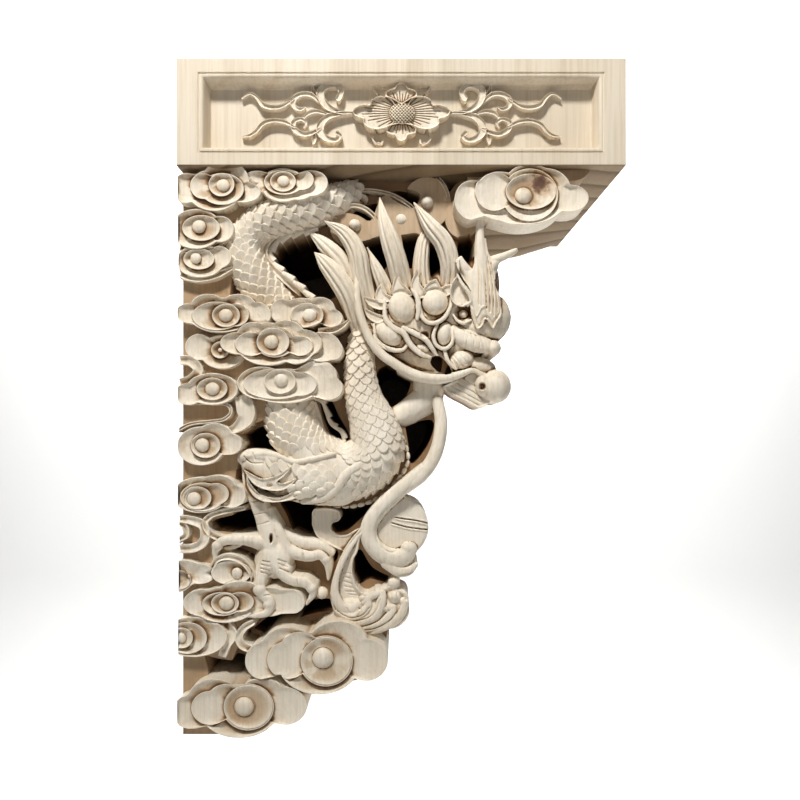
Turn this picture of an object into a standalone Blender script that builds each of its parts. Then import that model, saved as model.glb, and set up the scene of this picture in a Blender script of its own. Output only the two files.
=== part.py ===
"""Carved beam bracket: a wooden corbel with a dragon among clouds under a short panelled beam.

Frame: X = 0 is the flat face that meets the column, X runs out along the beam, Z is up, and
-Y is the carved front. The origin is at the middle of the column face.
"""
import math

import bmesh
import bpy
from mathutils import Vector

# Driving dimensions, in metres
BEAM_LENGTH = 0.394
BEAM_HEIGHT = 0.094
CARVED_DROP = 0.506
THICKNESS = 0.200
BACK_STEP = 0.008
SAW_ALLOWANCE = 0.040

PANEL_SIDE_MARGIN = 0.0235
PANEL_TOP_MARGIN = 0.0170
PANEL_BOTTOM_MARGIN = 0.0155
PANEL_DEPTH = 0.0130
PANEL_DRAFT = 0.0030
GROOVE_OFFSET = 0.0035
GROOVE_RADIUS = 0.0016
BACK_PANEL_DEPTH = 0.0050

# The carving is laid out in millimetres on a drop of LAYOUT_DROP, and grows with CARVED_DROP
LAYOUT_DROP = 506
MM = CARVED_DROP / LAYOUT_DROP
SHORT_MM = 0.001

TOP = (BEAM_HEIGHT + CARVED_DROP) / 2
UNDERSIDE = TOP - BEAM_HEIGHT
FRONT = -THICKNESS / 2
BACK = THICKNESS / 2

GROUND_DEPTH = 30
COLUMN_GROUND_DEPTH = 15
BOARD_FOOT = 6
HOLLOW_MOUTH = -5
POCKET_DEPTH = 165
TIER_STEP = 3.0
PLATE_FOOT = 38
# Each cloud lies this much deeper than the one before, so that no two faces share a plane
CLOUD_HAIR = 0.07
RINGED_TIER_SHARE = 0.62
PLAIN_TIER_SHARE = 0.60
BALL_SINK = 0.5
BALL_FLATNESS = 0.62
BACK_CLOUD_SHARE = 0.20
BACK_CLOUD_HAIR = 0.03

CLOUD_CORNER_COUNT = 12
LOBE_CORNER_COUNT = 2
INNER_CORNER_COUNT = 11
SHELF_CORNER_COUNT = 13
BODY_SIDE_COUNT = 8
LIMB_SIDE_COUNT = 6
SCROLL_SIDE_COUNT = 4
LARGE_MASS_COUNTS = (8, 5)
SMALL_MASS_COUNTS = (7, 4)
BALL_COUNTS = (7, 4)
PETAL_COUNTS = (8, 4)
SEED_BOSS_COUNTS = (10, 4)

PART_NAME = "carved_beam_bracket"
WOOD_COLOUR = (0.72, 0.58, 0.42, 1.0)
WOOD_ROUGHNESS = 0.62

# Outlines of the ground, as (x from the column, z from the beam's underside)
GROUND_OUTLINE = [
    (-20, 12), (300, 12), (292, -8), (270, -34), (266, -60), (266, -100), (258, -140), (246, -162),
    (236, -184), (231, -204), (230, -222), (220, -255), (198, -276), (192, -298), (205, -315),
    (209, -338), (195, -363), (192, -385), (189, -404), (182, -430), (176, -466), (140, -476),
    (112, -482), (104, -496), (84, -506), (-20, -506)]
COLUMN_OUTLINE = [
    (-20, 10), (150, 10), (150, -18), (104, -22), (62, -42), (44, -64), (44, -100), (74, -138),
    (104, -146), (110, -196), (64, -216), (50, -258), (44, -330), (60, -346), (60, -396),
    (46, -430), (52, -466), (60, -500), (-20, -500)]

# Deep hollows between the forms
HOLLOWS = {
    "under_beam": [(222, 10), (290, 10), (272, -4), (252, -8), (240, -21), (224, -6)],
    "behind_arch": [(78, -62), (94, -50), (112, -49), (130, -68), (136, -108), (114, -109), (78, -76)],
    "mane_low": [(126, -62), (150, -62), (152, -88), (140, -84)],
    "mane_left": [(164, -56), (180, -56), (181, -80), (168, -76)],
    "mane_mid": [(198, -50), (212, -50), (212, -74), (202, -74)],
    "mane_right": [(224, -58), (236, -62), (236, -90), (225, -88)],
    "mane_end": [(251, -52), (259, -52), (259, -84), (251, -76)],
    "under_disc": [(146, -26), (174, -19), (172, -36), (160, -31)],
    "over_disc": [(178, -14), (214, -12), (206, -24), (192, -18)],
    "jaw": [(175, -181), (188, -173), (205, -186), (196, -206), (184, -211), (176, -202)],
    "throat": [(224, -166), (238, -166), (240, -177), (228, -180)],
    "loop_slot": [(121, -202), (132, -205), (150, -243), (146, -253), (128, -231)],
    "loop_right": [(196, -226), (222, -225), (219, -242), (206, -266), (203, -242)],
    "elbow": [(56, -238), (72, -226), (78, -255), (64, -250)],
    "wrist": [(24, -320), (34, -312), (58, -307), (64, -326), (43, -326)],
    "claw": [(94, -300), (122, -302), (118, -323), (139, -340), (132, -352), (104, -336)],
    "belly": [(141, -303), (172, -302), (156, -324), (134, -328), (134, -318)],
    "leaf": [(154, -347), (182, -366), (182, -373), (158, -373)],
    "ribbon_near": [(57, -419), (70, -409), (98, -399), (98, -412), (82, -421)],
    "ribbon_far": [(104, -398), (132, -389), (139, -401), (123, -410), (105, -415)],
    "foot": [(11, -434), (52, -441), (52, -460), (27, -463), (14, -446)]}

# Clouds: name: (lip depth, (ball x, ball z, ball radius), lobes as (x, z, half width, half height))
CLOUDS = {
    "top_a": (4, (41, -16, 5.7), [(34, -17, 28.2, 21.5), (7, -16, 19.4, 16.8), (66, -20, 11.5, 10.6)]),
    "top_b": (4, (94, -13, 5.3), [(95, -11, 21.2, 18.5), (69, -10, 13.2, 13.0),
                                  (118, -12, 15.4, 12.2)]),
    "left_c": (4, (19, -52, 6.7), [(13, -54, 26.5, 17.7), (39, -52, 12.4, 12.4)]),
    "left_d": (5, (16, -80, 5.3), [(17, -81, 23.0, 15.0), (39, -78, 11.5, 11.5)]),
    "mid_e": (3, (43, -130, 7.0), [(38, -129, 32.6, 16.7), (11, -129, 12.3, 10.6),
                                   (71, -128, 13.2, 12.3)]),
    "mid_f": (5, (116, -130, 5.7), [(115, -127, 23.9, 15.0), (90, -126, 9.7, 10.6),
                                    (136, -131, 8.8, 8.0)]),
    "mid_g": (1, (84, -155, 7.0), [(83, -155, 31.5, 20.1), (54, -154, 15.8, 12.2),
                                   (108, -158, 17.5, 14.0),
                                   (128, -158, 18.4, 14.0)]),
    "mid_h": (2, (92, -188, 6.6), [(98, -191, 28.1, 18.0), (75, -188, 22.0, 14.9),
                                   (127, -186, 17.6, 14.9)]),
    "left_i": (4, (33, -195, 7.1), [(30, -196, 22.1, 14.2), (11, -201, 14.1, 10.6)]),
    "left_j": (9, None, [(37, -162, 21.4, 15.2), (18, -156, 13.4, 11.6)]),
    "left_k": (6, None, [(-2, -180, 19.0, 13.3)]),
    "left_l": (4, (22, -245, 7.1), [(22, -243, 24.7, 19.4), (44, -243, 10.6, 9.7)]),
    "left_m": (4, (14, -291, 7.1), [(19, -291, 30.0, 18.5), (48, -290, 14.1, 13.2)]),
    "low_n": (6, (43, -384, 7.9), [(46, -382, 33.5, 19.4), (24, -382, 17.7, 16.8),
                                   (86, -382, 22.9, 15.9)]),
    "low_o": (8, (52, -359, 5.2), [(46, -356, 17.8, 10.7)]),
    "low_p": (6, None, [(5, -358, 19.5, 11.5), (24, -359, 13.3, 8.9)]),
    "low_q": (5, None, [(10, -416, 19.5, 15.9), (23, -418, 21.2, 17.7)]),
    "foot_r": (2, (129, -435, 10.0), [(126, -436, 39.5, 30.8), (80, -436, 19.3, 21.1),
                                      (163, -435, 22.8, 21.1)]),
    "foot_s": (2, (59, -477, 9.6), [(55, -479, 38.7, 26.5), (13, -480, 17.6, 17.6),
                                    (96, -476, 20.2, 21.1)]),
    "nose_t": (1, (304, -27, 8.0), [(303, -26, 42.0, 26.2), (261, -27, 17.5, 19.2),
                                    (345, -28, 16.6, 14.0)])}

# Flat shelves and discs behind the front forms: (front depth, back depth, lobes)
SHELVES = {
    "mane_disc_left": (30, 60, [(150, -46, 23, 15)]),
    "mane_disc_mid": (32, 62, [(197, -44, 27, 20)]),
    "mane_disc_right": (29, 64, [(221, -25, 20, 19)]),
    "neck_shelf": (24, 66, [(252, -38, 15, 20)]),
    "snout_cloud_back": (20, 70, [(300, -14, 40, 19)]),
    "right_shelf": (10, 40, [(347, -2, 18, 13)]),
    "pearl": (20, 44, [(198, -321, 25.5, 28)]),
    "foot_back": (26, 110, [(134, -452, 40, 22)])}

# The tail leaf's middle; its stem, ball and bud are set from it
LEAF_X = 171
LEAF_Z = -391

# The dragon's round forms: routes of (x, z, depth, radius)
BODY_ROUTES = {
    "arch": [(156, -12, 36, 12), (126, -22, 30, 14), (98, -27, 26, 14.5), (73, -37, 24, 15),
             (57, -50, 23, 15.4),
             (51, -65, 23, 16), (55, -80, 23, 16.4), (64, -96, 25, 16.8), (76, -110, 29, 17.8),
             (93, -127, 34, 18)],
    "loop": [(92, -190, 30, 20), (94, -218, 28, 21), (104, -246, 28, 22), (120, -266, 28, 23.5),
             (143, -276, 28, 25),
             (162, -269, 28, 25.5), (175, -250, 27, 24), (171, -226, 27, 20.5), (162, -202, 26, 15.4),
             (159, -178, 25, 12.6), (160, -154, 26, 11), (168, -131, 30, 11)],
    "upper_arm": [(140, -279, 25, 21), (109, -276, 24, 21.5), (85, -272, 22, 19), (70, -268, 19, 15),
                  (58, -264, 18, 9)],
    "neck": [(177, -222, 36, 9), (196, -218, 34, 10), (211, -210, 33, 12), (221, -198, 33, 13),
             (222, -180, 33, 13)]}
LIMB_ROUTES = {
    "forearm": [(57, -262, 17, 8.6), (61, -284, 18, 8.4), (66, -301, 18, 9.2), (72, -319, 17, 10),
                (76, -338, 15, 11)],
    "toe_left": [(74, -341, 11, 6), (56, -333, 10, 4.6), (40, -332, 9, 4.2), (32, -337, 10, 3.8),
                 (30, -350, 12, 1.4)],
    "toe_down": [(76, -344, 12, 7), (71, -366, 10, 5.6), (78, -385, 8, 5), (71, -396, 8, 4),
                 (52, -400, 10, 1.4)],
    "toe_right": [(81, -346, 11, 6.6), (97, -363, 9, 5), (113, -370, 9, 4.6), (115, -379, 10, 3.8),
                  (109, -387, 12, 1.4)],
    "toe_far": [(82, -339, 15, 7), (104, -347, 14, 5), (123, -351, 15, 4.4), (131, -358, 16, 3.8),
                (131, -369, 18, 1.4)],
    "jaw_ridge": [(158, -93, 16, 3.2), (158, -116, 13, 4), (165, -143, 11, 4.6), (181, -163, 10, 4.6),
                  (207, -179, 10, 4.6), (240, -186, 11, 5), (262, -179, 15, 4.6)],
    "whisker": [(229, -203, 20, 6), (233, -226, 17, 6.6), (228, -252, 14, 7), (212, -276, 12, 7.8),
                (180, -299, 11, 9),
                (166, -318, 12, 9.6), (167, -339, 13, 10.4), (182, -352, 13, 10.8),
                (199, -347, 14, 8.8),
                (205, -337, 16, 6.6)],
    "scroll": [(130, -295, 30, 7.4), (125, -315, 28, 8.2), (127, -331, 28, 7.4), (140, -339, 28, 6.5),
               (153, -334, 28, 5.6), (163, -323, 28, 4.6)],
    "leaf_stem": [(163, -318, 17, 5), (152, -340, 16, 6.6), (145, -358, 16, 8.4),
                  (LEAF_X - 26, LEAF_Z + 15, 16, 10), (LEAF_X - 19, LEAF_Z + 1, 17, 11)],
    "arch_band": [(126, -21, 26, 5), (152, -18, 24, 6), (176, -17, 26, 8), (192, -24, 28, 11)]}
HORN_ROUTES = {
    "horn": [(268, -112, 20, 8), (270, -84, 15, 6), (267, -62, 12, 5.2), (265, -44, 11, 4.8),
             (264, -28, 14, 5)],
    "horn_front": [(270, -92, 14, 5.4), (284, -79, 12, 4.2), (293, -73, 12, 3.8), (303, -69, 13, 3)],
    "horn_rear": [(268, -97, 14, 5.4), (257, -92, 13, 4.6), (251, -83, 14, 3.8), (249, -75, 15, 3)]}
MANE_ROUTES = {
    "lock_low": [(157, -136, 20, 8), (150, -115, 17, 9), (140, -96, 15, 8.2), (128, -82, 14, 6.2),
                 (118, -71, 15, 1.6)],
    "lock_behind": [(155, -100, 28, 8), (142, -76, 27, 8), (127, -61, 26, 6.5), (110, -47, 27, 1.6)],
    "lock_arched": [(164, -118, 20, 8.2), (161, -92, 17, 8.4), (157, -70, 15, 8.4), (146, -53, 14, 6.4),
                    (127, -42, 16, 1.6)],
    "lock_short": [(183, -108, 22, 6.5), (176, -89, 20, 5.6), (165, -67, 20, 1.6)],
    "lock_tall": [(198, -112, 24, 9), (194, -81, 17, 8.6), (188, -60, 15, 8.2), (182, -42, 14, 5.6),
                  (177, -22, 16, 1.6)],
    "lock_back": [(216, -102, 26, 8), (215, -79, 24, 7), (218, -58, 25, 5.6), (222, -44, 28, 4.8)],
    "lock_curved": [(240, -108, 20, 8.4), (242, -84, 17, 8.4), (236, -65, 15, 8.4), (224, -48, 14, 6.8),
                    (208, -27, 16, 1.6)]}

SMALL_MASS = 14

# The upper lip's middle; the ball at its end is set from it
LIP_X = 262
LIP_Z = -152

# The dragon's rounded masses: (x, z, depth, half width, half height, half depth)
MASSES = {
    "cheek": (212, -136, 34, 46, 38, 18),
    "neck_root": (178, -124, 36, 26, 34, 16),
    "puff_a": (197, -122, 19, 13.5, 14.5, 11),
    "puff_b": (226, -119, 19, 12.8, 14, 11),
    "puff_c": (188, -146, 21, 13, 13.5, 11),
    "puff_d": (236, -147, 19, 8, 11.5, 9),
    "brow": (250, -116, 26, 18, 24, 16),
    "forehead": (270, -104, 24, 13, 22, 14),
    "snout": (277, -131, 24, 19, 22, 18),
    "lip": (LIP_X, LIP_Z, 21, 18, 9.5, 12),
    "lip_ball": (LIP_X + 17, LIP_Z - 6, 15, 7.6, 7.6, 8),
    "tusk": (252, -170, 19, 11, 11, 12),
    "jaw": (254, -191, 24, 22, 11, 12),
    "chin": (283, -192, 18, 13, 13, 13),
    "chin_back": (266, -188, 17, 10, 10, 9),
    "ear": (250, -109, 14, 8, 13, 8),
    "eye": (252, -127, 13, 6.5, 6.5, 6),
    "palm": (77, -341, 15, 12, 13.5, 9),
    "leaf": (LEAF_X, LEAF_Z, 18, 32, 24, 13),
    "leaf_ball": (LEAF_X + 20, LEAF_Z + 10, 12, 7.4, 7.4, 8),
    "leaf_bud": (LEAF_X + 13, LEAF_Z + 22, 16, 6, 5.6, 8),
    "haunch": (92, -205, 30, 24, 24, 20)}

# Simple clouds on the back: (x, z, half width, half height)
BACK_CLOUDS = [(62, -60, 44, 28), (178, -66, 52, 30), (96, -176, 54, 32), (150, -270, 42, 26),
               (62, -360, 44, 28), (124, -440, 38, 24)]

# The panel's flower and scrolls are drawn for a panel of this size, and grow with it
DRAWN_PANEL_WIDTH = 0.347
DRAWN_PANEL_HEIGHT = 0.0615
FLOWER_HALF_WIDTH = 42.6
FLOWER_HALF_HEIGHT = 26.0
FLOWER_SINK = 0.001
PETAL_LIFT = 0.0085
SEED_BOSS_LIFT = 1.35
SEED_BOSS_SHARE = (0.25, 0.36)

# Lobes of one petal, as shares of the flower's half size: (out, across, half length, half breadth)
SIDE_LOBES = [(0.60, 0.0, 0.44, 0.34), (0.40, -0.42, 0.30, 0.46), (0.40, 0.42, 0.30, 0.46)]
UPRIGHT_LOBES = [(0.62, 0.0, 0.40, 0.19), (0.48, -0.24, 0.36, 0.17), (0.48, 0.24, 0.36, 0.17)]
SIDE_LOBE_LIFT = (0.86, 0.02)
UPRIGHT_LOBE_LIFT = (0.84, 0.025)
SCROLL_TAPER = 0.55
SCROLL_SINK = 0.002

# One quarter of the panel's scroll: radius, and (x, z) from the flower's middle in millimetres
SCROLL_RUNS = {
    "upper_leaf": (3.2, [(-42, 1), (-60, 3), (-70, 12), (-67, 23), (-56, 24), (-54, 18)]),
    "lower_leaf": (3.2, [(-43, 0), (-62, -1), (-70, -10), (-66, -19), (-55, -18)]),
    "upper_curl": (2.6, [(-70, 10), (-80, 17), (-91, 18), (-96, 10), (-88, 5)]),
    "lower_curl": (2.6, [(-70, -11), (-83, -17), (-94, -13), (-93, -5), (-87, -6)]),
    "upper_tail": (2.4, [(-92, 16), (-108, 8), (-122, 9), (-133, 18), (-142, 14)]),
    "lower_tail": (2.4, [(-92, -15), (-108, -9), (-121, -9), (-131, -19), (-142, -20)])}


def new_collection(name):
    collection = bpy.data.collections.new(name)
    bpy.context.scene.collection.children.link(collection)
    return collection


def link_only(collection, thing):
    """Move an object into one collection; a cutter or an operand shows as wire only."""
    for other in list(thing.users_collection):
        other.objects.unlink(thing)
    collection.objects.link(thing)
    if collection.name != PART_NAME:
        thing.hide_render = True
        thing.display_type = "WIRE"
    return thing


def place(x, z, depth):
    """World point of x from the column, z from the beam's underside and depth from the front."""
    return Vector((x * MM, FRONT + depth * MM, UNDERSIDE + z * MM))


def as_mesh(curve_object, collection):
    """Turn a curve object into a closed mesh object in the same place."""
    name = curve_object.name
    graph = bpy.context.evaluated_depsgraph_get()
    mesh = bpy.data.meshes.new_from_object(curve_object.evaluated_get(graph))
    shell = bmesh.new()
    shell.from_mesh(mesh)
    bmesh.ops.remove_doubles(shell, verts=shell.verts, dist=0.000001)
    bmesh.ops.recalc_face_normals(shell, faces=shell.faces)
    shell.to_mesh(mesh)
    shell.free()
    matrix = curve_object.matrix_world.copy()
    bpy.data.objects.remove(curve_object)
    solid = bpy.data.objects.new(name, mesh)
    solid.matrix_world = matrix
    return link_only(collection, solid)


def plate(collection, name, outline, front, back):
    """A flat board: an outline of world (x, z) points between two world depths along Y."""
    curve = bpy.data.curves.new(name, "CURVE")
    curve.dimensions = "2D"
    curve.fill_mode = "BOTH"
    curve.extrude = (back - front) / 2
    spline = curve.splines.new("POLY")
    spline.points.add(len(outline) - 1)
    spline.use_cyclic_u = True
    for point, (x, z) in zip(spline.points, outline):
        point.co = (x, z, 0.0, 1.0)
    board = bpy.data.objects.new(name, curve)
    board.rotation_euler = (math.pi / 2, 0.0, 0.0)
    board.location = (0.0, (front + back) / 2, 0.0)
    bpy.context.scene.collection.objects.link(board)
    bpy.context.view_layer.update()
    return as_mesh(board, collection)


def laid_plate(collection, name, outline, front_depth, back_y):
    """A board from layout points, from a layout depth back to a world Y."""
    points = [(x * MM, UNDERSIDE + z * MM) for x, z in outline]
    return plate(collection, name, points, FRONT + front_depth * MM, back_y)


def smooth_route(stops, steps):
    """Points of a smooth curve through the stops, with a few points to each span."""
    ends = [stops[0]] + list(stops) + [stops[-1]]
    route = []
    for index in range(len(stops) - 1):
        before, start, end, after = (Vector(stop) for stop in ends[index:index + 4])
        for step in range(steps):
            t = step / steps
            route.append(0.5 * (2 * start + (end - before) * t
                                + (2 * before - 5 * start + 4 * end - after) * t ** 2
                                + (3 * start - before - 3 * end + after) * t ** 3))
    route.append(Vector(stops[-1]))
    return route


def tube(collection, name, points, sides, closed=False):
    """A round form along world points of (position, radius)."""
    curve = bpy.data.curves.new(name, "CURVE")
    curve.dimensions = "3D"
    curve.bevel_depth = 1.0
    curve.bevel_resolution = sides // 2 - 2
    curve.use_fill_caps = not closed
    spline = curve.splines.new("POLY")
    spline.points.add(len(points) - 1)
    spline.use_cyclic_u = closed
    for point, (position, radius) in zip(spline.points, points):
        point.co = (*position, 1.0)
        point.radius = radius
    form = bpy.data.objects.new(name, curve)
    bpy.context.scene.collection.objects.link(form)
    bpy.context.view_layer.update()
    return as_mesh(form, collection)


def laid_tube(collection, name, stops, sides, steps):
    points = [(place(x, z, depth), radius * MM) for x, z, depth, radius in smooth_route(stops, steps)]
    return tube(collection, name, points, sides)


def mass(collection, name, centre, half_sizes, segments, rings):
    """An ellipsoid with its poles along Y, so its round outline faces the front."""
    mesh = bpy.data.meshes.new(name)
    ball = bmesh.new()
    bmesh.ops.create_uvsphere(ball, u_segments=segments, v_segments=rings, radius=1.0)
    half_x, half_y, half_z = half_sizes
    for vert in ball.verts:
        x, y, z = vert.co
        vert.co = (centre[0] + x * half_x, centre[1] - z * half_y, centre[2] + y * half_z)
    ball.to_mesh(mesh)
    ball.free()
    return link_only(collection, bpy.data.objects.new(name, mesh))


def block(collection, name, low, high, draft=0.0):
    """A box between two corners, its back face drawn in by the draft on every side."""
    mesh = bpy.data.meshes.new(name)
    box = bmesh.new()
    bmesh.ops.create_cube(box, size=1.0)
    low = Vector(low)
    high = Vector(high)
    middle = (low + high) / 2
    for vert in box.verts:
        inset = draft if vert.co.y > 0 else 0.0
        half = (high - low) / 2 - Vector((inset, 0.0, inset))
        signs = [math.copysign(1.0, value) for value in vert.co]
        vert.co = middle + Vector([half[axis] * signs[axis] for axis in range(3)])
    box.to_mesh(mesh)
    box.free()
    return link_only(collection, bpy.data.objects.new(name, mesh))


def cut(target, operation, collection=None, tool=None):
    """Add a Boolean of a whole collection, or of one tool."""
    modifier = target.modifiers.new(operation.lower(), "BOOLEAN")
    modifier.operation = operation
    modifier.solver = "EXACT"
    if collection:
        modifier.operand_type = "COLLECTION"
        modifier.collection = collection
    else:
        modifier.object = tool
    return modifier


def ellipse_reach(angle, start, lobe):
    """How far a ray from the start at an angle runs to the far side of an elliptical lobe."""
    x, z, half_width, half_height = lobe
    run = (math.cos(angle) / half_width, math.sin(angle) / half_height)
    gap = ((start[0] - x) / half_width, (start[1] - z) / half_height)
    a = run[0] ** 2 + run[1] ** 2
    b = 2 * (run[0] * gap[0] + run[1] * gap[1])
    c = gap[0] ** 2 + gap[1] ** 2 - 1
    root = b * b - 4 * a * c
    if root < 0:
        return 0.0
    return (-b + math.sqrt(root)) / (2 * a)


def lobed_outline(lobes, corners, share=1.0, centre=None):
    """The outer edge of overlapping lobes, seen from the first lobe's middle, shrunk about a centre."""
    start = lobes[0][:2]
    centre = centre or start
    outline = []
    for corner in range(corners):
        angle = 2 * math.pi * (corner + 0.5) / corners
        reach = max(ellipse_reach(angle, start, lobe) for lobe in lobes)
        x = start[0] + reach * math.cos(angle)
        z = start[1] + reach * math.sin(angle)
        outline.append((centre[0] + (x - centre[0]) * share, centre[1] + (z - centre[1]) * share))
    return outline


def ellipse_outline(x, z, half_width, half_height, corners):
    return lobed_outline([(x, z, half_width, half_height)], corners)


def cloud(collection, name, order, lip, ball, lobes):
    """A cloud: a lobed plate, a smaller tier on it, and a ball in its ring."""
    hair = CLOUD_HAIR * order
    corners = CLOUD_CORNER_COUNT + LOBE_CORNER_COUNT * len(lobes)
    back = FRONT + (PLATE_FOOT + hair) * MM
    outer_lip = lip + (TIER_STEP if ball else 0) + hair
    laid_plate(collection, name + "_outer", lobed_outline(lobes, corners), outer_lip, back)
    inner_back = FRONT + (outer_lip + TIER_STEP) * MM
    if not ball:
        inner = lobed_outline(lobes, INNER_CORNER_COUNT, PLAIN_TIER_SHARE)
        laid_plate(collection, name + "_inner", inner, outer_lip - TIER_STEP, inner_back)
        return
    x, z, radius = ball
    inner = lobed_outline(lobes[:2], INNER_CORNER_COUNT, RINGED_TIER_SHARE, (x, z))
    laid_plate(collection, name + "_inner", inner, lip + hair, inner_back)
    mass(collection, name + "_ball", place(x, z, lip + radius * BALL_SINK),
         (radius * MM, radius * BALL_FLATNESS * MM, radius * MM), *BALL_COUNTS)


def flower(collection, middle_x, middle_z, width_share, height_share, depth_y):
    """The panel's flower: four petals of three lobes each, a seed boss, and four mirrored scrolls."""
    half_w = FLOWER_HALF_WIDTH * width_share * SHORT_MM
    half_h = FLOWER_HALF_HEIGHT * height_share * SHORT_MM
    for side in (-1, 1):
        for number, (out, across, long, broad) in enumerate(SIDE_LOBES):
            lift = PETAL_LIFT * (SIDE_LOBE_LIFT[0] + SIDE_LOBE_LIFT[1] * (2 * number + max(side, 0)))
            where = Vector((middle_x + side * out * half_w, depth_y, middle_z + across * half_h))
            mass(collection, f"petal_side_{number}_{side}", where, (long * half_w, lift, broad * half_h),
                 *PETAL_COUNTS)
        for number, (out, across, long, broad) in enumerate(UPRIGHT_LOBES):
            lift = PETAL_LIFT * (UPRIGHT_LOBE_LIFT[0] + UPRIGHT_LOBE_LIFT[1] * (2 * number + max(side, 0)))
            where = Vector((middle_x + across * half_w, depth_y, middle_z + side * out * half_h))
            mass(collection, f"petal_upright_{number}_{side}", where,
                 (broad * half_w, lift, long * half_h), *PETAL_COUNTS)
    mass(collection, "seed_boss", Vector((middle_x, depth_y, middle_z)),
         (SEED_BOSS_SHARE[0] * half_w, PETAL_LIFT * SEED_BOSS_LIFT, SEED_BOSS_SHARE[1] * half_h),
         *SEED_BOSS_COUNTS)
    for side in (-1, 1):
        for name, (radius, stops) in SCROLL_RUNS.items():
            route = smooth_route([(x, z, 0.0, radius) for x, z in stops], 1)
            count = len(route) - 1
            points = []
            for index, (x, z, _, thick) in enumerate(route):
                taper = 1.0 - SCROLL_TAPER * index / count
                where = Vector((middle_x + side * x * width_share * SHORT_MM, depth_y - SCROLL_SINK,
                                middle_z + z * height_share * SHORT_MM))
                points.append((where, thick * taper * SHORT_MM))
            tube(collection, f"{name}_{side}", points, SCROLL_SIDE_COUNT)


def make_beam(cutters):
    """The beam: a plain block with a sunk panel and a V groove around it; the back panel is plain."""
    beam = block(cutters["carving"], "beam", (-SAW_ALLOWANCE, FRONT, UNDERSIDE),
    (BEAM_LENGTH, BACK, TOP))
    low_x, high_x = PANEL_SIDE_MARGIN, BEAM_LENGTH - PANEL_SIDE_MARGIN
    low_z, high_z = UNDERSIDE + PANEL_BOTTOM_MARGIN, TOP - PANEL_TOP_MARGIN
    block(cutters["panel"], "panel_recess", (low_x, FRONT - PANEL_DEPTH, low_z),
          (high_x, FRONT + PANEL_DEPTH, high_z), PANEL_DRAFT)
    block(cutters["panel"], "back_recess", (low_x, BACK - BACK_PANEL_DEPTH, low_z),
          (high_x, BACK + PANEL_DEPTH, high_z))
    edge = GROOVE_OFFSET
    corners = [(low_x - edge, low_z - edge), (high_x + edge, low_z - edge),
               (high_x + edge, high_z + edge), (low_x - edge, high_z + edge)]
    groove = [(Vector((x, FRONT, z)), GROOVE_RADIUS) for x, z in corners]
    tube(cutters["panel"], "panel_groove", groove, SCROLL_SIDE_COUNT, True)
    cut(beam, "DIFFERENCE", cutters["panel"])
    panel_width = high_x - low_x
    panel_height = high_z - low_z
    flower(cutters["carving"], (low_x + high_x) / 2, (low_z + high_z) / 2, panel_width / DRAWN_PANEL_WIDTH,
           panel_height / DRAWN_PANEL_HEIGHT, FRONT + PANEL_DEPTH + FLOWER_SINK)


def make_clouds(carving):
    for order, (name, (lip, ball, lobes)) in enumerate(CLOUDS.items()):
        cloud(carving, name, order, lip, ball, lobes)
    for name, (front, back, lobes) in SHELVES.items():
        laid_plate(carving, name, lobed_outline(lobes, SHELF_CORNER_COUNT), front, FRONT + back * MM)
    for order, (x, z, half_width, half_height) in enumerate(BACK_CLOUDS):
        low = BACK - BACK_STEP * (BACK_CLOUD_SHARE + BACK_CLOUD_HAIR * order)
        outline = ellipse_outline(x, z, half_width, half_height, SHELF_CORNER_COUNT)
        points = [(px * MM, UNDERSIDE + pz * MM) for px, pz in outline]
        plate(carving, f"back_cloud_{order}", points, BACK - BACK_STEP * 2, low)


def make_dragon(carving):
    for name, stops in BODY_ROUTES.items():
        laid_tube(carving, name, stops, BODY_SIDE_COUNT, 1)
    for routes in (LIMB_ROUTES, HORN_ROUTES, MANE_ROUTES):
        for name, stops in routes.items():
            laid_tube(carving, name, stops, LIMB_SIDE_COUNT, 1)
    for name, (x, z, depth, half_width, half_height, half_depth) in MASSES.items():
        counts = LARGE_MASS_COUNTS if half_width > SMALL_MASS else SMALL_MASS_COUNTS
        half_sizes = (half_width * MM, half_depth * MM, half_height * MM)
        mass(carving, name, place(x, z, depth), half_sizes, *counts)


def make_hollows(hollows):
    for name, outline in HOLLOWS.items():
        laid_plate(hollows, name, outline, HOLLOW_MOUTH, FRONT + POCKET_DEPTH * MM)


def wood_material():
    wood = bpy.data.materials.new("raw_wood")
    wood.use_nodes = True
    shader = wood.node_tree.nodes["Principled BSDF"]
    shader.inputs["Base Color"].default_value = WOOD_COLOUR
    shader.inputs["Roughness"].default_value = WOOD_ROUGHNESS
    shader.inputs["Metallic"].default_value = 0.0
    return wood


def main():
    for thing in list(bpy.data.objects):
        bpy.data.objects.remove(thing)
    part = new_collection(PART_NAME)
    cutters = {name: new_collection(name) for name in ("boards", "hollows", "panel", "carving", "saw")}
    bracket = laid_plate(part, "bracket", GROUND_OUTLINE, GROUND_DEPTH, BACK - BACK_STEP)
    boards = laid_plate(cutters["boards"], "column_boards", COLUMN_OUTLINE, COLUMN_GROUND_DEPTH,
                        FRONT + (GROUND_DEPTH + BOARD_FOOT) * MM)
    make_hollows(cutters["hollows"])
    make_beam(cutters)
    make_clouds(cutters["carving"])
    make_dragon(cutters["carving"])
    saw = block(cutters["saw"], "column_saw", (-3 * SAW_ALLOWANCE, 2 * FRONT, -2 * TOP),
                (0.0, 2 * BACK, 2 * TOP))
    cut(bracket, "UNION", tool=boards)
    cut(bracket, "DIFFERENCE", cutters["hollows"])
    cut(bracket, "UNION", cutters["carving"])
    cut(bracket, "DIFFERENCE", tool=saw)
    bracket.data.materials.append(wood_material())


main()
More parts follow.
